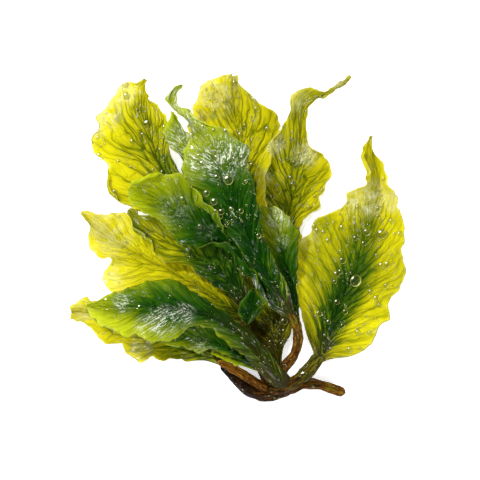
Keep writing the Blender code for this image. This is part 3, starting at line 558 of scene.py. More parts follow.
def fine_path(points):
    """A smooth curve through all the given points, and the length run at each of its steps."""
    knots = np.array(points, float)
    times = np.concatenate([[0.0], np.cumsum(np.sqrt(np.linalg.norm(np.diff(knots, axis=0), axis=1)))])
    slopes = np.gradient(knots, times, axis=0)
    fine = np.linspace(0.0, times[-1], PATH_STEPS)
    span = np.clip(np.searchsorted(times, fine, side="right") - 1, 0, len(times) - 2)
    width = (times[span + 1] - times[span])[:, None]
    t = (fine - times[span])[:, None] / width
    curve = (
        knots[span] * (2 * t**3 - 3 * t**2 + 1)
        + slopes[span] * width * (t**3 - 2 * t**2 + t)
        + knots[span + 1] * (3 * t**2 - 2 * t**3)
        + slopes[span + 1] * width * (t**3 - t**2)
    )
    run = np.concatenate([[0.0], np.cumsum(np.linalg.norm(np.diff(curve, axis=0), axis=1))])
    return curve, run


def smooth_path(points, shares):
    """Points at these shares of the length of a smooth curve that passes through all the given ones."""
    curve, run = fine_path(points)
    columns = [np.interp(shares, run / run[-1], column) for column in curve.T]
    return np.column_stack(columns)


def path_length(points):
    return fine_path(points)[1][-1]


def smooth_noise(x, y, seed):
    """Soft random hills between -1 and 1, one for each unit of x and y."""
    table = np.random.default_rng(seed).uniform(-1, 1, (64, 64))
    x0, y0 = np.floor(x).astype(int), np.floor(y).astype(int)
    fx, fy = x - x0, y - y0
    fx, fy = fx * fx * (3 - 2 * fx), fy * fy * (3 - 2 * fy)
    near, far = table[x0 % 64, y0 % 64], table[(x0 + 1) % 64, y0 % 64]
    near_up, far_up = table[x0 % 64, (y0 + 1) % 64], table[(x0 + 1) % 64, (y0 + 1) % 64]
    return (near * (1 - fx) + far * fx) * (1 - fy) + (near_up * (1 - fx) + far_up * fx) * fy


def ease(x, low, high):
    """0 below low, 1 above high and a smooth rise between them."""
    t = np.clip((x - low) / (high - low), 0, 1)
    return t * t * (3 - 2 * t)


def unit(vectors):
    return vectors / np.maximum(np.linalg.norm(vectors, axis=-1, keepdims=True), 1e-9)


def loft(name, rings, attributes, collection, material):
    """A closed mesh through rings of points from base to tip, with its ends closed by a strip of faces.

    Each ring runs clockwise as seen looking from base to tip. The attributes hold a value or vector a point.
    """
    rows, count = rings.shape[:2]
    index = np.arange(rows * count).reshape(rows, count)
    after = np.roll(index, -1, axis=1)
    sides = np.stack([index[:-1], after[:-1], after[1:], index[1:]], axis=-1).reshape(-1, 4)
    j = np.arange(count // 2 - 1)
    cap = np.stack([j, j + 1, count - 2 - j, count - 1 - j], axis=-1)
    faces = np.concatenate([sides, index[0][cap[:, ::-1]], index[-1][cap]])
    mesh = bpy.data.meshes.new(name)
    mesh.from_pydata(in_frame(rings.reshape(-1, 3)).tolist(), [], faces.tolist())
    mesh.shade_smooth()
    for label, values in attributes.items():
        values = np.broadcast_to(values, rings.shape[:2] + values.shape[2:])
        kind, field = ("FLOAT_VECTOR", "vector") if values.ndim == 3 else ("FLOAT", "value")
        layer = mesh.attributes.new(label, kind, "POINT")
        layer.data.foreach_set(field, np.ascontiguousarray(values, np.float32).ravel())
    mesh.materials.append(material)
    obj = bpy.data.objects.new(name, mesh)
    collection.objects.link(obj)
    return obj


def roll_sizes(blade, side, along, half_width):
    """One margin's roll at each row: its radius, its turn in radians, its flap and how pale it is.

    There is at least a small lip everywhere.
    """
    radius = np.full_like(along, LIP_RADIUS)
    turn = np.full_like(along, LIP_TURN)
    flap = np.zeros_like(along)
    pale = np.zeros_like(along)
    for roll in blade.rolls:
        if roll.side == side:
            soft = (roll.end - roll.start) * ROLL_SOFT_PART
            share = ease(along, roll.start, roll.start + soft) * (1 - ease(along, roll.end - soft, roll.end))
            radius += share * (roll.radius - LIP_RADIUS)
            turn += share * (roll.turn - LIP_TURN)
            wave = 1 + 0.5 * smooth_noise(along * 25, 0 * along, blade.seed)
            flap = np.maximum(flap, share * roll.flap * wave)
            pale = np.maximum(pale, share * roll.pale)
    radius = np.minimum(radius, half_width * WIDEST_ROLL)
    return radius, np.radians(turn), np.minimum(flap, half_width * WIDEST_FLAP), pale


def green_share(tint, along, across):
    """How green the tissue is at these shares of the length and of half the width."""
    rib, left, right = (np.interp(along, np.linspace(0.0, 1.0, len(row)), row) for row in tint[:3])
    margin = np.where(across < 0, left, right)
    return margin + (rib - margin) * np.exp(-((across / tint.spread) ** 2))


class Sheet:
    """A blade's middle surface: rows from base to tip, and columns from the left roll to the right one."""

    def __init__(self, blade):
        self.blade = blade
        length = path_length(blade.rib)
        along = np.linspace(0.0, 1.0, int(length / BLADE_STEP) + 2)
        rib, left, right = (smooth_path(points, along) for points in (blade.rib, blade.left, blade.right))
        full_width = np.linalg.norm(right - left, axis=1)
        self.outward = unit((right - left) * [1.0, 1.0, 0.0])[:, None]
        self.rolls = {side: roll_sizes(blade, side, along, full_width / 2) for side in ("left", "right")}
        left = left + self.outward[:, 0] * self.rolls["left"][0][:, None]
        right = right - self.outward[:, 0] * self.rolls["right"][0][:, None]
        body = np.linspace(-1.0, 1.0, int(full_width.max() / BLADE_STEP) + 2)
        curl = np.linspace(0.0, 1.0, ROLL_COLUMNS + 1)[1:]
        self.across = np.concatenate([-1 - curl[::-1], body, 1 + curl])
        v = np.clip(self.across, -1.0, 1.0)[None, :, None]
        bow = (right + left) / 2 - rib
        self.points = rib[:, None] + v * (right - left)[:, None] / 2 + v**2 * bow[:, None]
        self.s, self.w = along[:, None], v[..., 0]
        self.run, self.offset = self.s * length, self.w * full_width[:, None] / 2
        self.full_width, self.half_width = full_width[:, None], full_width.mean() / 2

    def ruffle(self):
        """Ruffles of the margins, as on the solid, then finer frills, pleats and puckers."""
        blade, points, s, w, run = self.blade, self.points, self.s, self.w, self.run
        side = np.where(w < 0, SIDE_PHASE, 0.0)
        points[..., 2] += (
            blade.ruffle * np.sin(np.pi * s) * np.abs(w) ** 3
            * np.sin(2 * np.pi * (blade.waves * s + blade.phase + side))
        )
        margin, open_part, sides = np.abs(w) ** 3, ease(s, 0.08, 0.3), np.sign(w) * SIDE_SHIFT
        for order, step in enumerate(FRILL_STEPS):
            wave = smooth_noise(run / step + 0 * w, sides + 0 * run, blade.seed + order)
            points[..., 2] += blade.frill / (1 + 0.7 * order) * margin * open_part * wave
        for order, step in enumerate(WOBBLE_STEPS):
            wave = smooth_noise(run / step + 0 * w, sides + 0 * run, blade.seed + WOBBLE_SEED + order)
            reach = WOBBLE_WIDTH / (1 + 0.6 * order) * np.sign(w) * w**4 * open_part * wave
            points += reach[..., None] * self.outward
        way = np.abs(w) * self.half_width / PLEAT_STEPS[0]
        pleat = smooth_noise(way, run / PLEAT_STEPS[1] + sides, blade.seed + PLEAT_SEED)
        points[..., 2] += PLEAT_HEIGHT * pleat * ease(s, 0.0, 0.1)
        pucker = smooth_noise(run / PUCKER_STEP, self.offset / PUCKER_STEP + 31, blade.seed + PUCKER_SEED)
        points[..., 2] += PUCKER_HEIGHT * pucker * ease(s, 0.05, 0.2)
        self.fold = pleat + pucker * 0.3

    def curl_margins(self):
        """Turns both margins up and over, round their rolls."""
        sides = (("left", -1, slice(0, ROLL_COLUMNS)), ("right", 1, slice(-ROLL_COLUMNS, None)))
        for side, sign, columns in sides:
            radius, turn, flap = (value[:, None] for value in self.rolls[side][:3])
            reach = (np.abs(self.across[columns]) - 1)[None, :] * (radius * turn + flap)
            angle = np.minimum(reach / radius, turn)
            past = reach - angle * radius
            sideways = radius * np.sin(angle) + past * np.cos(angle)
            self.points[:, columns] += (sign * sideways)[..., None] * self.outward
            self.points[:, columns, 2] += radius * (1 - np.cos(angle)) + past * np.sin(angle)
        self.points[..., 2] = np.maximum(self.points[..., 2], BLADE_HALF_WALL + LOWEST)

    def rings(self):
        """The upper side and then the lower side of each row, with the rib's ridge between them."""
        blade, points, s, w = self.blade, self.points, self.s, self.w
        normal = unit(np.cross(np.gradient(points, axis=1), np.gradient(points, axis=0)))
        fade = 1 - ease(s, 0.0, blade.rib_fade)
        rib_width = RIB_WIDTH * (1 + RIB_WIDENING * (1 - ease(s, 0.0, 0.3)))
        ridge = blade.rib_height * np.exp(-((self.offset / rib_width) ** 2))
        ridge = ridge * (0.08 + 0.92 * fade**2) * (1 - s)
        wall = (BLADE_HALF_WALL * (1 - MARGIN_THINNING * np.abs(w) ** 6) + ridge)[..., None]
        top, bottom = points + normal * wall, points - normal * wall
        bottom[..., 2] = np.maximum(bottom[..., 2], LOWEST)
        return np.concatenate([top, bottom[:, ::-1]], axis=1)

    def attributes(self):
        """What the material needs to know at each point, in millimetres or as shares from 0 to 1."""
        blade, s, w, run, across = self.blade, self.s, self.w, self.run, self.across
        green = green_share(blade.tint, s, w)
        for side, sign in (("left", -1), ("right", 1)):
            green = green * (1 - self.rolls[side][3][:, None] * ease(sign * across, *PALE_ROLL)[None])
        reaches = ((radius * turn + flap)[:, None] for radius, turn, flap, _ in self.rolls.values())
        rolled_up = (1 - np.maximum(np.abs(across) - 1, 0)[None]) * np.where(w < 0, *reaches)
        slant = np.abs(across)[None] ** VEIN_CURVE * self.half_width - VEIN_SLOPE * run
        # the spots where the material paints foam and glints
        frost = np.zeros_like(green)
        for x, y, radius, strength in blade.tint.frost:
            away = np.hypot(self.points[..., 0] - x, self.points[..., 1] - y) / radius
            frost = np.maximum(frost, strength * (1 - ease(away, *FOAM_AND_GLINT_EDGE)))
        values = {
            "green": green,
            "edge": (1 - np.abs(w)) * self.full_width / 2 + rolled_up,
            "frost": frost,
            "veins": np.full_like(green, blade.tint.veins),
            "fold": self.fold,
            "base": (1 - ease(s, 0.0, blade.brown)) + 0 * w,
            "stem": (1 - ease(s, *STEM_END)) + 0 * w,
            "vein": np.stack([
                slant, run + 0.3 * np.abs(self.offset), 1.5 * np.tanh(self.offset / 3.0) + 0 * run,
            ], axis=-1),
        }
        return {label: np.concatenate([value, value[:, ::-1]], axis=1) for label, value in values.items()}


def make_blade(name, blade, collection, material):
    """One blade as a thin closed sheet, with a raised rib, ruffled edges and margins that curl over."""
    sheet = Sheet(blade)
    sheet.ruffle()
    sheet.curl_margins()
    return loft(name, sheet.rings(), sheet.attributes(), collection, material)


def make_stipe(name, stipe, collection, material):
    """One stem as a tube with lengthwise ridges and small knots, and with its ends rounded."""
    length = path_length(stipe.axis)
    along = np.linspace(0.0, 1.0, int(length / STIPE_STEP) + 2)
    path = smooth_path(np.column_stack([stipe.axis, stipe.radii]), along)
    axis, radius = path[:, :3], path[:, 3]
    ends = np.clip(np.minimum(along, 1 - along) * length / radius, 0.02, 1)
    radius = (radius * np.sqrt(ends * (2 - ends)))[:, None]
    forward = unit(np.gradient(axis, axis=0))
    level = unit(np.cross(forward, [0.0, 0.0, 1.0]))
    upward = np.cross(level, forward)
    angle = np.linspace(0.0, 2 * np.pi, STIPE_SIDES, endpoint=False)[None, :]
    run = along[:, None] * length
    turn = angle + run * 0.05

    # ridges that wind slowly round the stem, then soft knots of two sizes
    ridges = 0.05 * np.sin(5 * turn + stipe.seed) + 0.03 * np.sin(9 * turn - run * 0.3)
    knots = 0.12 * smooth_noise(run / 3.0, 2 * np.sin(angle) + 9, stipe.seed)
    knots = knots + 0.09 * smooth_noise(run / 1.3, 4 * np.sin(angle) + 21, stipe.seed)
    size = radius * (1 + ridges + knots)
    rings = (
        axis[:, None]
        - (np.cos(angle) * size)[..., None] * level[:, None]
        + (np.sin(angle) * size)[..., None] * upward[:, None]
    )
    rings[..., 2] = np.maximum(rings[..., 2], LOWEST)

    green, amber = (np.interp(along, (0.0, 1.0), row)[:, None] for row in (stipe.green, stipe.amber))
    around = np.stack([np.cos(angle) * radius, np.sin(angle) * radius, run + 0 * angle], axis=-1)
    return loft(name, rings, {"around": around, "green": green, "amber": amber}, collection, material)


class Field:
    """A socket's value in a Python expression: each operator adds the Math node that works it out."""

    def __init__(self, graph, socket):
        self.graph, self.socket = graph, socket

    def math(self, operation, *others, clamp=False):
        values = dict(enumerate(others))
        return self.graph.node("ShaderNodeMath", {"operation": operation, "use_clamp": clamp}, values)[0]

    def __add__(self, other):
        return self.math("ADD", self, other)

    def __sub__(self, other):
        return self.math("SUBTRACT", self, other)

    def __rsub__(self, other):
        return self.math("SUBTRACT", other, self)

    def __mul__(self, other):
        return self.math("MULTIPLY", self, other)

    def __truediv__(self, other):
        return self.math("DIVIDE", self, other)

    def __pow__(self, other):
        return self.math("POWER", self, other)

    __radd__ = __add__
    __rmul__ = __mul__

    def clamped(self):
        return self.math("ADD", self, 0.0, clamp=True)

    def rise(self, low, high):
        """0 below low, 1 above high and a smooth rise between them."""
        settings = {"interpolation_type": "SMOOTHSTEP"}
        return self.graph.node("ShaderNodeMapRange", settings, {0: self, 1: low, 2: high})[0]


class Made:
    """A node that has been added, with its outputs by name or number."""

    def __init__(self, graph, node):
        self.graph, self.node = graph, node

    def __getitem__(self, output):
        return Field(self.graph, self.node.outputs[output])


class Graph:
    """The node tree of a material or of the room's light, or a node group."""

    def __init__(self, owner):
        self.owner = owner
        if isinstance(owner, bpy.types.NodeTree):
            self.tree = owner
        else:
            owner.use_nodes = True
            self.tree = owner.node_tree
        self.tree.nodes.clear()

    def node(self, kind, settings=None, values=None):
        """Adds a node of this kind, makes its settings, then sets or links its sockets by name or number."""
        node = self.tree.nodes.new(kind)
        for key, value in (settings or {}).items():
            setattr(node, key, value)
        for key, value in (values or {}).items():
            value = value[0] if isinstance(value, Made) else value
            if isinstance(value, Field):
                self.tree.links.new(value.socket, node.inputs[key])
            else:
                node.inputs[key].default_value = value
        return Made(self, node)

    def ramp(self, stops, place):
        """The colour at this place between the stops."""
        made = self.node("ShaderNodeValToRGB", None, {0: place})
        elements = made.node.color_ramp.elements
        while len(elements) < len(stops):
            elements.new(1.0)
        for element, (position, colour) in zip(elements, stops):
            element.position = position
            element.color = (*colour, 1.0)
        return made[0]

    def attribute(self, name, output="Fac"):
        return self.node("ShaderNodeAttribute", {"attribute_name": name})[output]

    def place(self):
        return self.node("ShaderNodeTexCoord")["Object"]

    def scaled(self, vector, by):
        """The vector with each of its parts multiplied by its own number."""
        return self.node("ShaderNodeVectorMath", {"operation": "MULTIPLY"}, {0: vector, 1: by})[0]

    def shifted(self, vector, by):
        return self.node("ShaderNodeVectorMath", {"operation": "ADD"}, {0: vector, 1: by})[0]

    def mixed(self, share, first, second):
        """Two colours mixed by a share, where 0 is all of the first one."""
        first, second = ((*c, 1.0) if isinstance(c, tuple) else c for c in (first, second))
        return self.node("ShaderNodeMix", {"data_type": "RGBA"}, {0: share, 6: first, 7: second})[2]

    def noise(self, vector, scale, detail=2.0, roughness=0.5, output=0):
        values = {"Scale": scale, "Detail": detail, "Roughness": roughness}
        return self.node("ShaderNodeTexNoise", None, values | ({"Vector": vector} if vector else {}))[output]

    def grain(self, way, stretch, detail=2.0, roughness=0.5):
        """Noise that is stretched along the tissue."""
        return self.noise(self.scaled(way, stretch), 1.0, detail, roughness)

    def cell_edges(self, way, stretch):
        """How far a place is from the edge of its cell, among cells that are stretched along the tissue."""
        values = {"Vector": self.scaled(way, stretch), "Scale": 1.0}
        return self.node("ShaderNodeTexVoronoi", {"feature": "DISTANCE_TO_EDGE"}, values)["Distance"]

    def bump(self, height, distance, strength, under=None):
        """The normal of a surface with this relief, on top of another relief where one is given."""
        values = {"Height": height, "Distance": distance, "Strength": strength}
        return self.node("ShaderNodeBump", None, values | ({"Normal": under} if under else {}))[0]

    def finish(self, surface, output="ShaderNodeOutputMaterial"):
        self.node(output, None, {"Surface": surface})
        return self.owner


def blade_material(name, palette):
    """Wet, thin tissue: pale at the margin, dark green at the rib, with a net of branching veins."""
    g = Graph(bpy.data.materials.new(name + "_blade"))
    labels = ("green", "edge", "frost", "veins", "base", "stem", "fold")
    green, edge, frost, strength, base, stem, fold = (g.attribute(label) for label in labels)
    place, way = g.place(), g.attribute("vein", "Vector")

    # the veins: a net of long cells that leave the rib at a slant, bent a little by noise
    bend = g.noise(g.scaled(way, (0.30, 0.11, 1.0)), 1.0, output="Color")
    bent = g.shifted(way, g.scaled(g.shifted(bend, (-0.5, -0.5, -0.5)), (3.4, 6.0, 0.0)))
    net = g.cell_edges(bent, (0.55, 0.058, 1.0))
    fine_net = g.cell_edges(bent, (1.2, 0.16, 1.0))
    thick = 0.055 + 0.09 * green
    inner = edge.rise(0.5, 7.0)
    vein = (1 - (net / thick).rise(0.15, 1.25)) * (0.35 + 0.65 * inner)
    halo = 1 - net.rise(0.0, 0.40)
    small_vein = (1 - (fine_net / thick).rise(0.1, 1.0)) * inner

    # the tissue's colour, from pale to dark, with its streaks and veins, and painted shade that darkens the
    # hollows of its folds
    patches = g.noise(place, 110.0, 3.0, 0.55)
    streaks = g.grain(way, (1.1, 0.07, 1.0), 4.0, 0.62)
    hairs = g.grain(way, (3.2, 0.22, 1.0))
    grooves = g.grain(way, (1.3, 0.04, 1.0), 3.0, 0.6)
    depth = green + (patches - 0.5) * 0.28 + (streaks - 0.5) * (0.8 + 0.7 * stem) * (green * 0.8 + 0.12)
    depth = depth + (hairs - 0.5) * 0.25 + strength * (0.10 * vein + 0.13 * halo + 0.06 * small_vein - 0.07)
    depth = depth + (grooves - 0.5) * stem * palette.stem_streaks - (1 - edge.rise(0.1, 1.2)) * 0.14
    # painted shade: the hollows of the pleats and puckers darker and their crests paler
    depth = depth - fold * (0.05 + 0.12 * stem)
    colour = g.ramp(palette.stops, depth.clamped())
    line = (strength * (0.64 * vein + 0.32 * small_vein) * (1.1 - 0.8 * green) * (1 - 0.6 * frost)).clamped()
    colour = g.mixed(line, colour, g.scaled(colour, (0.38, 0.44, 0.25)))

    # fine foam with painted glints, a pale rim that is partly painted light, pale specks, and the brown of the
    # base, which is stronger in the folds' hollows
    specks = g.grain(way, (2.3, 0.55, 1.0), 3.0, 0.7)
    sparks = g.grain(way, (2.6, 0.35, 1.0), 2.0, 0.6)
    beads = 1 - g.node("ShaderNodeTexVoronoi", None, {"Vector": place, "Scale": 2300.0})[0].rise(0.2, 0.6)
    dots = g.noise(place, 1500.0, 2.0, 0.7)
    drifts = g.noise(place, 300.0, 3.0, 0.6)
    # foam that is partly real and partly painted glints: white beads, streaks and soft patches mixed into the
    # colour
    foam_and_glints = beads * specks.rise(0.47, 0.56) * drifts.rise(0.3, 0.5)
    foam_and_glints = foam_and_glints + sparks.rise(0.54, 0.61) * drifts.rise(0.35, 0.5) * 0.8
    foam_and_glints = frost * (drifts.rise(0.35, 0.62) * palette.soft_foam_and_sheen + foam_and_glints)
    # a pale rim on the margins, partly painted light that lifts the shade of their curled lips
    rim = (1 - edge.rise(0.0, 0.9)) * (1.05 - green).clamped() * patches.rise(0.35, 0.65) * palette.rim_paleness_and_painted_light
    # pale specks scattered all over
    pale_specks = dots.rise(0.70, 0.78) * 0.35
    colour = g.mixed((foam_and_glints + rim + pale_specks).clamped() * 0.9, colour, palette.foam_and_glints)
    brown = (base * (2.6 * grooves - 0.4 - 0.4 * fold)).clamped()
    colour = g.mixed(brown * 0.8, colour, BROWN)

    # relief, then the wet film and the light that comes through
    relief = g.bump(g.noise(place, 1000.0, 3.0, 0.65) * 0.4 + beads * frost * 0.6, 0.0003, 0.6)
    height = g.grain(way, (0.75, 0.09, 1.0), 3.0, 0.6) * 2.2 + sparks * 0.9 + grooves * 3.0 * stem
    relief = g.bump(height - vein * 0.5 - small_vein * 0.2 + (1 - halo) * 0.45, 0.0005, 0.9, relief)
    gloss = g.noise(place, 260.0)
    wet = gloss.rise(0.44, 0.60) * sparks.rise(0.55, 0.63) * (1 - 0.7 * frost)
    wet = wet + stem * grooves.rise(0.53, 0.62) * 0.25 + frost * sparks.rise(0.46, 0.58) * palette.foam_shine
    tissue = g.node("ShaderNodeBsdfPrincipled", None, {
        "Base Color": colour, "Roughness": 0.35 + 0.3 * gloss, "Specular IOR Level": 0.01,
        "Coat Weight": (0.01 + wet + 0.2 * foam_and_glints).clamped(), "Coat Roughness": 0.09, "Coat IOR": 1.75,
        "Normal": relief,
    })
    through = g.node("ShaderNodeBsdfTranslucent", None, {"Color": palette.light_through, "Normal": relief})
    share = 0.36 + 0.12 * frost - 0.6 * depth.clamped() - 0.3 * line - 0.3 * brown - foam_and_glints * palette.foam_shade
    return g.finish(g.node("ShaderNodeMixShader", None, {0: share.clamped(), 1: tissue, 2: through}))


def stipe_material():
    """Wet dark stem with fine ridges, amber where light comes through and green near the blades."""
    g = Graph(bpy.data.materials.new("stipe"))
    around, green, amber = g.attribute("around", "Vector"), g.attribute("green"), g.attribute("amber")
    place = g.place()
    grain = g.noise(place, 750.0, 3.0, 0.6)
    streaks = g.grain(around, (1.6, 1.6, 0.26), 4.0, 0.7) + (grain - 0.5) * 0.35
    patches = g.grain(around, (0.5, 0.5, 0.22), 3.0, 0.6)
    bark = g.ramp(BARK_STOPS, 0.15 + 0.7 * streaks + (amber - 0.4) * 0.35 * (0.4 + patches))
    green_share_of_bark = (green + (patches - 0.5) * 1.1).rise(0.25, 0.75) * 0.9
    colour = g.mixed(green_share_of_bark, bark, g.ramp(GREEN_BARK_STOPS, streaks))
    # painted glints: fine pale specks in the wet film
    colour = g.mixed(g.noise(place, 1300.0, 3.0, 0.75).rise(0.66, 0.74) * 0.5, colour, FOAM_AND_GLINT_WHITE)
    return g.finish(g.node("ShaderNodeBsdfPrincipled", None, {
        "Base Color": colour, "Roughness": 0.4 + 0.3 * grain, "Specular IOR Level": 0.04,
        "Coat Weight": 0.02 + 0.7 * patches.rise(0.45, 0.62) * grain.rise(0.52, 0.64),
        "Coat Roughness": 0.1, "Coat IOR": 1.5,
        "Normal": g.bump(streaks, 0.0012, 0.9, g.bump(grain, 0.0008, 1.0)),
    }))


def water_material():
    """Clear drops: see-through in the middle, with a painted highlight and a painted dark rim towards the light.

    Their far side has a painted yellow-green glow, as if light gathered there, and a painted dark outline goes
    all round.
    """
    g = Graph(bpy.data.materials.new("water"))
    facing = g.node("ShaderNodeNewGeometry")["Normal"]
    sides = {0: facing, 1: GLINT_SIDE}
    towards = g.node("ShaderNodeVectorMath", {"operation": "DOT_PRODUCT"}, sides)["Value"]
    rise = g.node("ShaderNodeSeparateXYZ", None, {0: facing})["Z"]
    # painted light: a highlight on the side towards GLINT_SIDE, a dark rim and outline, and a bright yellow-green
    # crescent on the other side
    glint = towards.rise(0.95, 0.985)
    outline = 1 - rise.rise(0.12, 0.42)
    near = (1 - rise.rise(0.35, 0.85)) * towards.rise(0.15, 0.6) * 0.4 + outline * 0.42
    far = (1 - rise.rise(0.5, 0.97)) * (1 - outline) * (0.45 - towards).rise(0.0, 0.5)
    colour = g.mixed((near * 2.2).clamped(), (0.86, 0.94, 0.22), (0.09, 0.10, 0.004))
    return g.finish(g.node("ShaderNodeBsdfPrincipled", None, {
        "Base Color": g.mixed(glint, colour, (1.0, 1.0, 0.92)), "Roughness": 0.04, "IOR": 1.4,
        "Alpha": (0.015 + 0.9 * glint + near + 0.75 * far).clamped(),
    }))


def floor_material():
    """A plain white light table, a little bright by itself."""
    g = Graph(bpy.data.materials.new("pale_floor"))
    return g.finish(g.node("ShaderNodeBsdfPrincipled", None, {
        "Base Color": (0.9, 0.9, 0.9, 1.0), "Roughness": 0.8, "Specular IOR Level": 0.1,
        "Emission Color": (1.0, 1.0, 1.0, 1.0), "Emission Strength": 0.6,
    }))


def open_faces(pieces):
    """All the points of the pieces, a tree of their faces, and each piece's faces that nothing covers."""
    points, faces, upward = [], [], []
    for name, obj in pieces.items():
        start = len(points)
        points.extend(vertex.co.copy() for vertex in obj.data.vertices)
        for face in obj.data.polygons:
            faces.append([start + i for i in face.vertices])
            if face.normal.z > STEEPEST and face.area > SMALLEST_FACE:
                upward.append((name, len(faces) - 1, face.center.copy()))
    tree = BVHTree.FromPolygons(points, faces)
    lift = Vector((0.0, 0.0, DROP_CLEARANCE))
    seen = {name: [] for name in pieces}
    for name, i, centre in upward:
        if tree.ray_cast(centre + lift, Vector((0, 0, 1)))[0] is None:
            seen[name].append(faces[i])
    return points, tree, seen


def mesh_of(name, points, faces):
    mesh = bpy.data.meshes.new(name)
    edit = bmesh.new()
    used = {}
    for face in faces:
        for i in face:
            if i not in used:
                used[i] = edit.verts.new(points[i])
    for face in faces:
        edit.faces.new([used[i] for i in face])
    edit.to_mesh(mesh)
    edit.free()
    return mesh


def drops_tree(material):
    """Scatters round drops over a surface, most of them small, flattened where they sit on it."""
    group = bpy.data.node_groups.new("drops", "GeometryNodeTree")
    group.interface.new_socket("Geometry", in_out="INPUT", socket_type="NodeSocketGeometry")
    for name, size in BEADS.items():
        kind = "NodeSocketInt" if isinstance(size, int) else "NodeSocketFloat"
        group.interface.new_socket(name, in_out="INPUT", socket_type=kind)
    group.interface.new_socket("Geometry", in_out="OUTPUT", socket_type="NodeSocketGeometry")

    g = Graph(group)
    given = g.node("NodeGroupInput")
    spread = g.node("GeometryNodeDistributePointsOnFaces", {"distribute_method": "POISSON"}, {
        "Mesh": given["Geometry"], "Distance Min": given["Spacing"], "Density Max": given["Density"],
        "Density Factor": g.noise(None, CLUMPS, 2.0, 0.6).rise(0.44, 0.66), "Seed": given["Seed"],
    })
    chance = g.node("FunctionNodeRandomValue", {"data_type": "FLOAT"}, {"Seed": given["Seed"]})[1]
    sizes = {0: chance**RARENESS, 3: given["Smallest"], 4: given["Largest"]}
    size = g.node("ShaderNodeMapRange", None, sizes)[0]
    ball = g.node("GeometryNodeMeshUVSphere", None, {
        "Segments": given["Sides"], "Rings": given["Sides"] * 0.6, "Radius": 0.5,
    })
    smooth = g.node("GeometryNodeSetShadeSmooth", None, {"Geometry": ball["Mesh"]})
    scale = g.node("ShaderNodeCombineXYZ", None, {0: size, 1: size, 2: size * SMALL_DROP_HEIGHT})
    placed = g.node("GeometryNodeInstanceOnPoints", None, {
        "Points": spread["Points"], "Instance": smooth, "Rotation": spread["Rotation"], "Scale": scale,
    })
    real = g.node("GeometryNodeRealizeInstances", None, {"Geometry": placed})
    done = g.node("GeometryNodeSetMaterial", None, {"Geometry": real, "Material": material})
    g.node("NodeGroupOutput", None, {0: done})
    return group


def scatter_drops(surface, material, collection, sizes):
    """The small drops as one plain mesh over the open faces of the blades."""
    obj = bpy.data.objects.new("small_drops", surface)
    collection.objects.link(obj)
    drops = obj.modifiers.new("drops", "NODES")
    drops.node_group = drops_tree(material)
    for item in drops.node_group.interface.items_tree:
        if item.in_out == "INPUT" and item.name in sizes:
            drops[item.identifier] = sizes[item.name]
    graph = bpy.context.evaluated_depsgraph_get()
    mesh = bpy.data.meshes.new_from_object(obj.evaluated_get(graph))
    obj.modifiers.remove(drops)
    bpy.data.objects.remove(obj)
    return mesh


def make_drops(pieces, material, collection):
    """All the water drops as one piece: fine beads, round drops on the thin blades, and the big ones."""
    points, tree, seen = open_faces(pieces)
    mesh = bpy.data.meshes.new("water_drops")
    small = bmesh.new()
    scatters = ((list(pieces), BEADS), (ROUND_DROP_BLADES, ROUND_DROPS), (WETTEST_BLADES, MORE_DROPS))
    for names, sizes in scatters:
        surface = mesh_of("open_surface", points, [face for name in names for face in seen[name]])
        small.from_mesh(scatter_drops(surface, material, collection, sizes))
    small.to_mesh(mesh)
    small.free()
    big = bmesh.new()
    for x, y, width in BIG_DROPS:
        start = Vector(in_frame((x, y, ABOVE_THE_TUFT)))
        place, normal, _, _ = tree.ray_cast(start, Vector((0, 0, -1)))
        if place is None:
            continue
        size = width * MM
        turn = normal.to_track_quat("Z", "Y").to_matrix().to_4x4()
        lift = Matrix.Translation(place + normal * size * BIG_DROP_LIFT)
        shape = lift @ turn @ Matrix.Diagonal((size, size, size * BIG_DROP_HEIGHT, 1.0))
        bmesh.ops.create_uvsphere(big, u_segments=24, v_segments=14, radius=0.5, matrix=shape)
    for face in big.faces:
        face.smooth = True
    big.from_mesh(mesh)
    big.to_mesh(mesh)
    big.free()
    mesh.materials.clear()
    mesh.materials.append(material)
    obj = bpy.data.objects.new("water_drops", mesh)
    collection.objects.link(obj)
    return obj


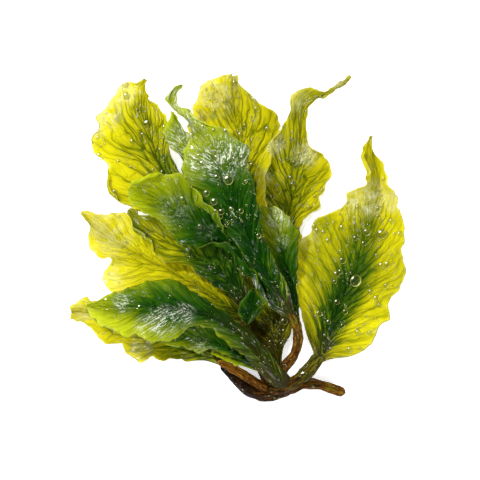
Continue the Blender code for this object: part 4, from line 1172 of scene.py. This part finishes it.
def soft_room():
    """Even light from the sides of a white room, and less from straight above, so that tissue stays deep."""
    g = Graph(bpy.data.worlds.new("soft_room"))
    height = g.node("ShaderNodeSeparateXYZ", None, {0: g.node("ShaderNodeTexCoord")["Generated"]})["Z"]
    strength = 1.02 - 0.98 * height.rise(0.22, 0.78)
    light = g.node("ShaderNodeBackground", None, {"Color": (1.0, 1.0, 1.0, 1.0), "Strength": strength})
    return g.finish(light, "ShaderNodeOutputWorld")


def add_lamp(name, place, size, power):
    """A square soft light that faces the tuft."""
    light = bpy.data.lights.new(name, "AREA")
    light.shape = "SQUARE"
    light.size = size
    light.energy = power
    obj = bpy.data.objects.new(name, light)
    obj.location = place
    obj.rotation_mode = "QUATERNION"
    obj.rotation_quaternion = Vector(place).to_track_quat("Z", "Y")
    bpy.context.scene.collection.objects.link(obj)


def make_stage():
    """The pale floor, the even light round it, soft lamps and the camera that looks straight down."""
    scene = bpy.context.scene
    scene.view_settings.view_transform = "Standard"
    edit = bmesh.new()
    bmesh.ops.create_grid(edit, x_segments=1, y_segments=1, size=4.0)
    mesh = bpy.data.meshes.new("floor")
    edit.to_mesh(mesh)
    edit.free()
    mesh.materials.append(floor_material())
    floor = bpy.data.objects.new("floor", mesh)
    floor.location.z = FLOOR_HEIGHT
    scene.collection.objects.link(floor)

    scene.world = soft_room()
    for name, (place, size, power) in LAMPS.items():
        add_lamp(name, place, size, power)
    camera = bpy.data.cameras.new("camera")
    camera.lens = CAMERA_LENS
    camera.sensor_width = 36.0
    camera.clip_end = 10.0
    view = bpy.data.objects.new("camera", camera)
    view.location = CAMERA_PLACE
    scene.collection.objects.link(view)
    scene.camera = view


def main():
    collection = bpy.data.collections.new("seaweed_looks")
    bpy.context.scene.collection.children.link(collection)
    make_stage()
    tissue = {name: blade_material(name, palette) for name, palette in PALETTES.items()}
    bark, water = stipe_material(), water_material()
    pieces = {}
    for name, blade in BLADES.items():
        pieces[name] = make_blade(name + "_look", blade, collection, tissue[blade.palette])
    for name, stipe in STIPES.items():
        pieces[name] = make_stipe(name + "_look", stipe, collection, bark)
    for name, piece in pieces.items():
        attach(piece, "root")
        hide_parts(name)
    drops = make_drops(pieces, water, collection)
    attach(drops, "root")


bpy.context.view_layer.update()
main()
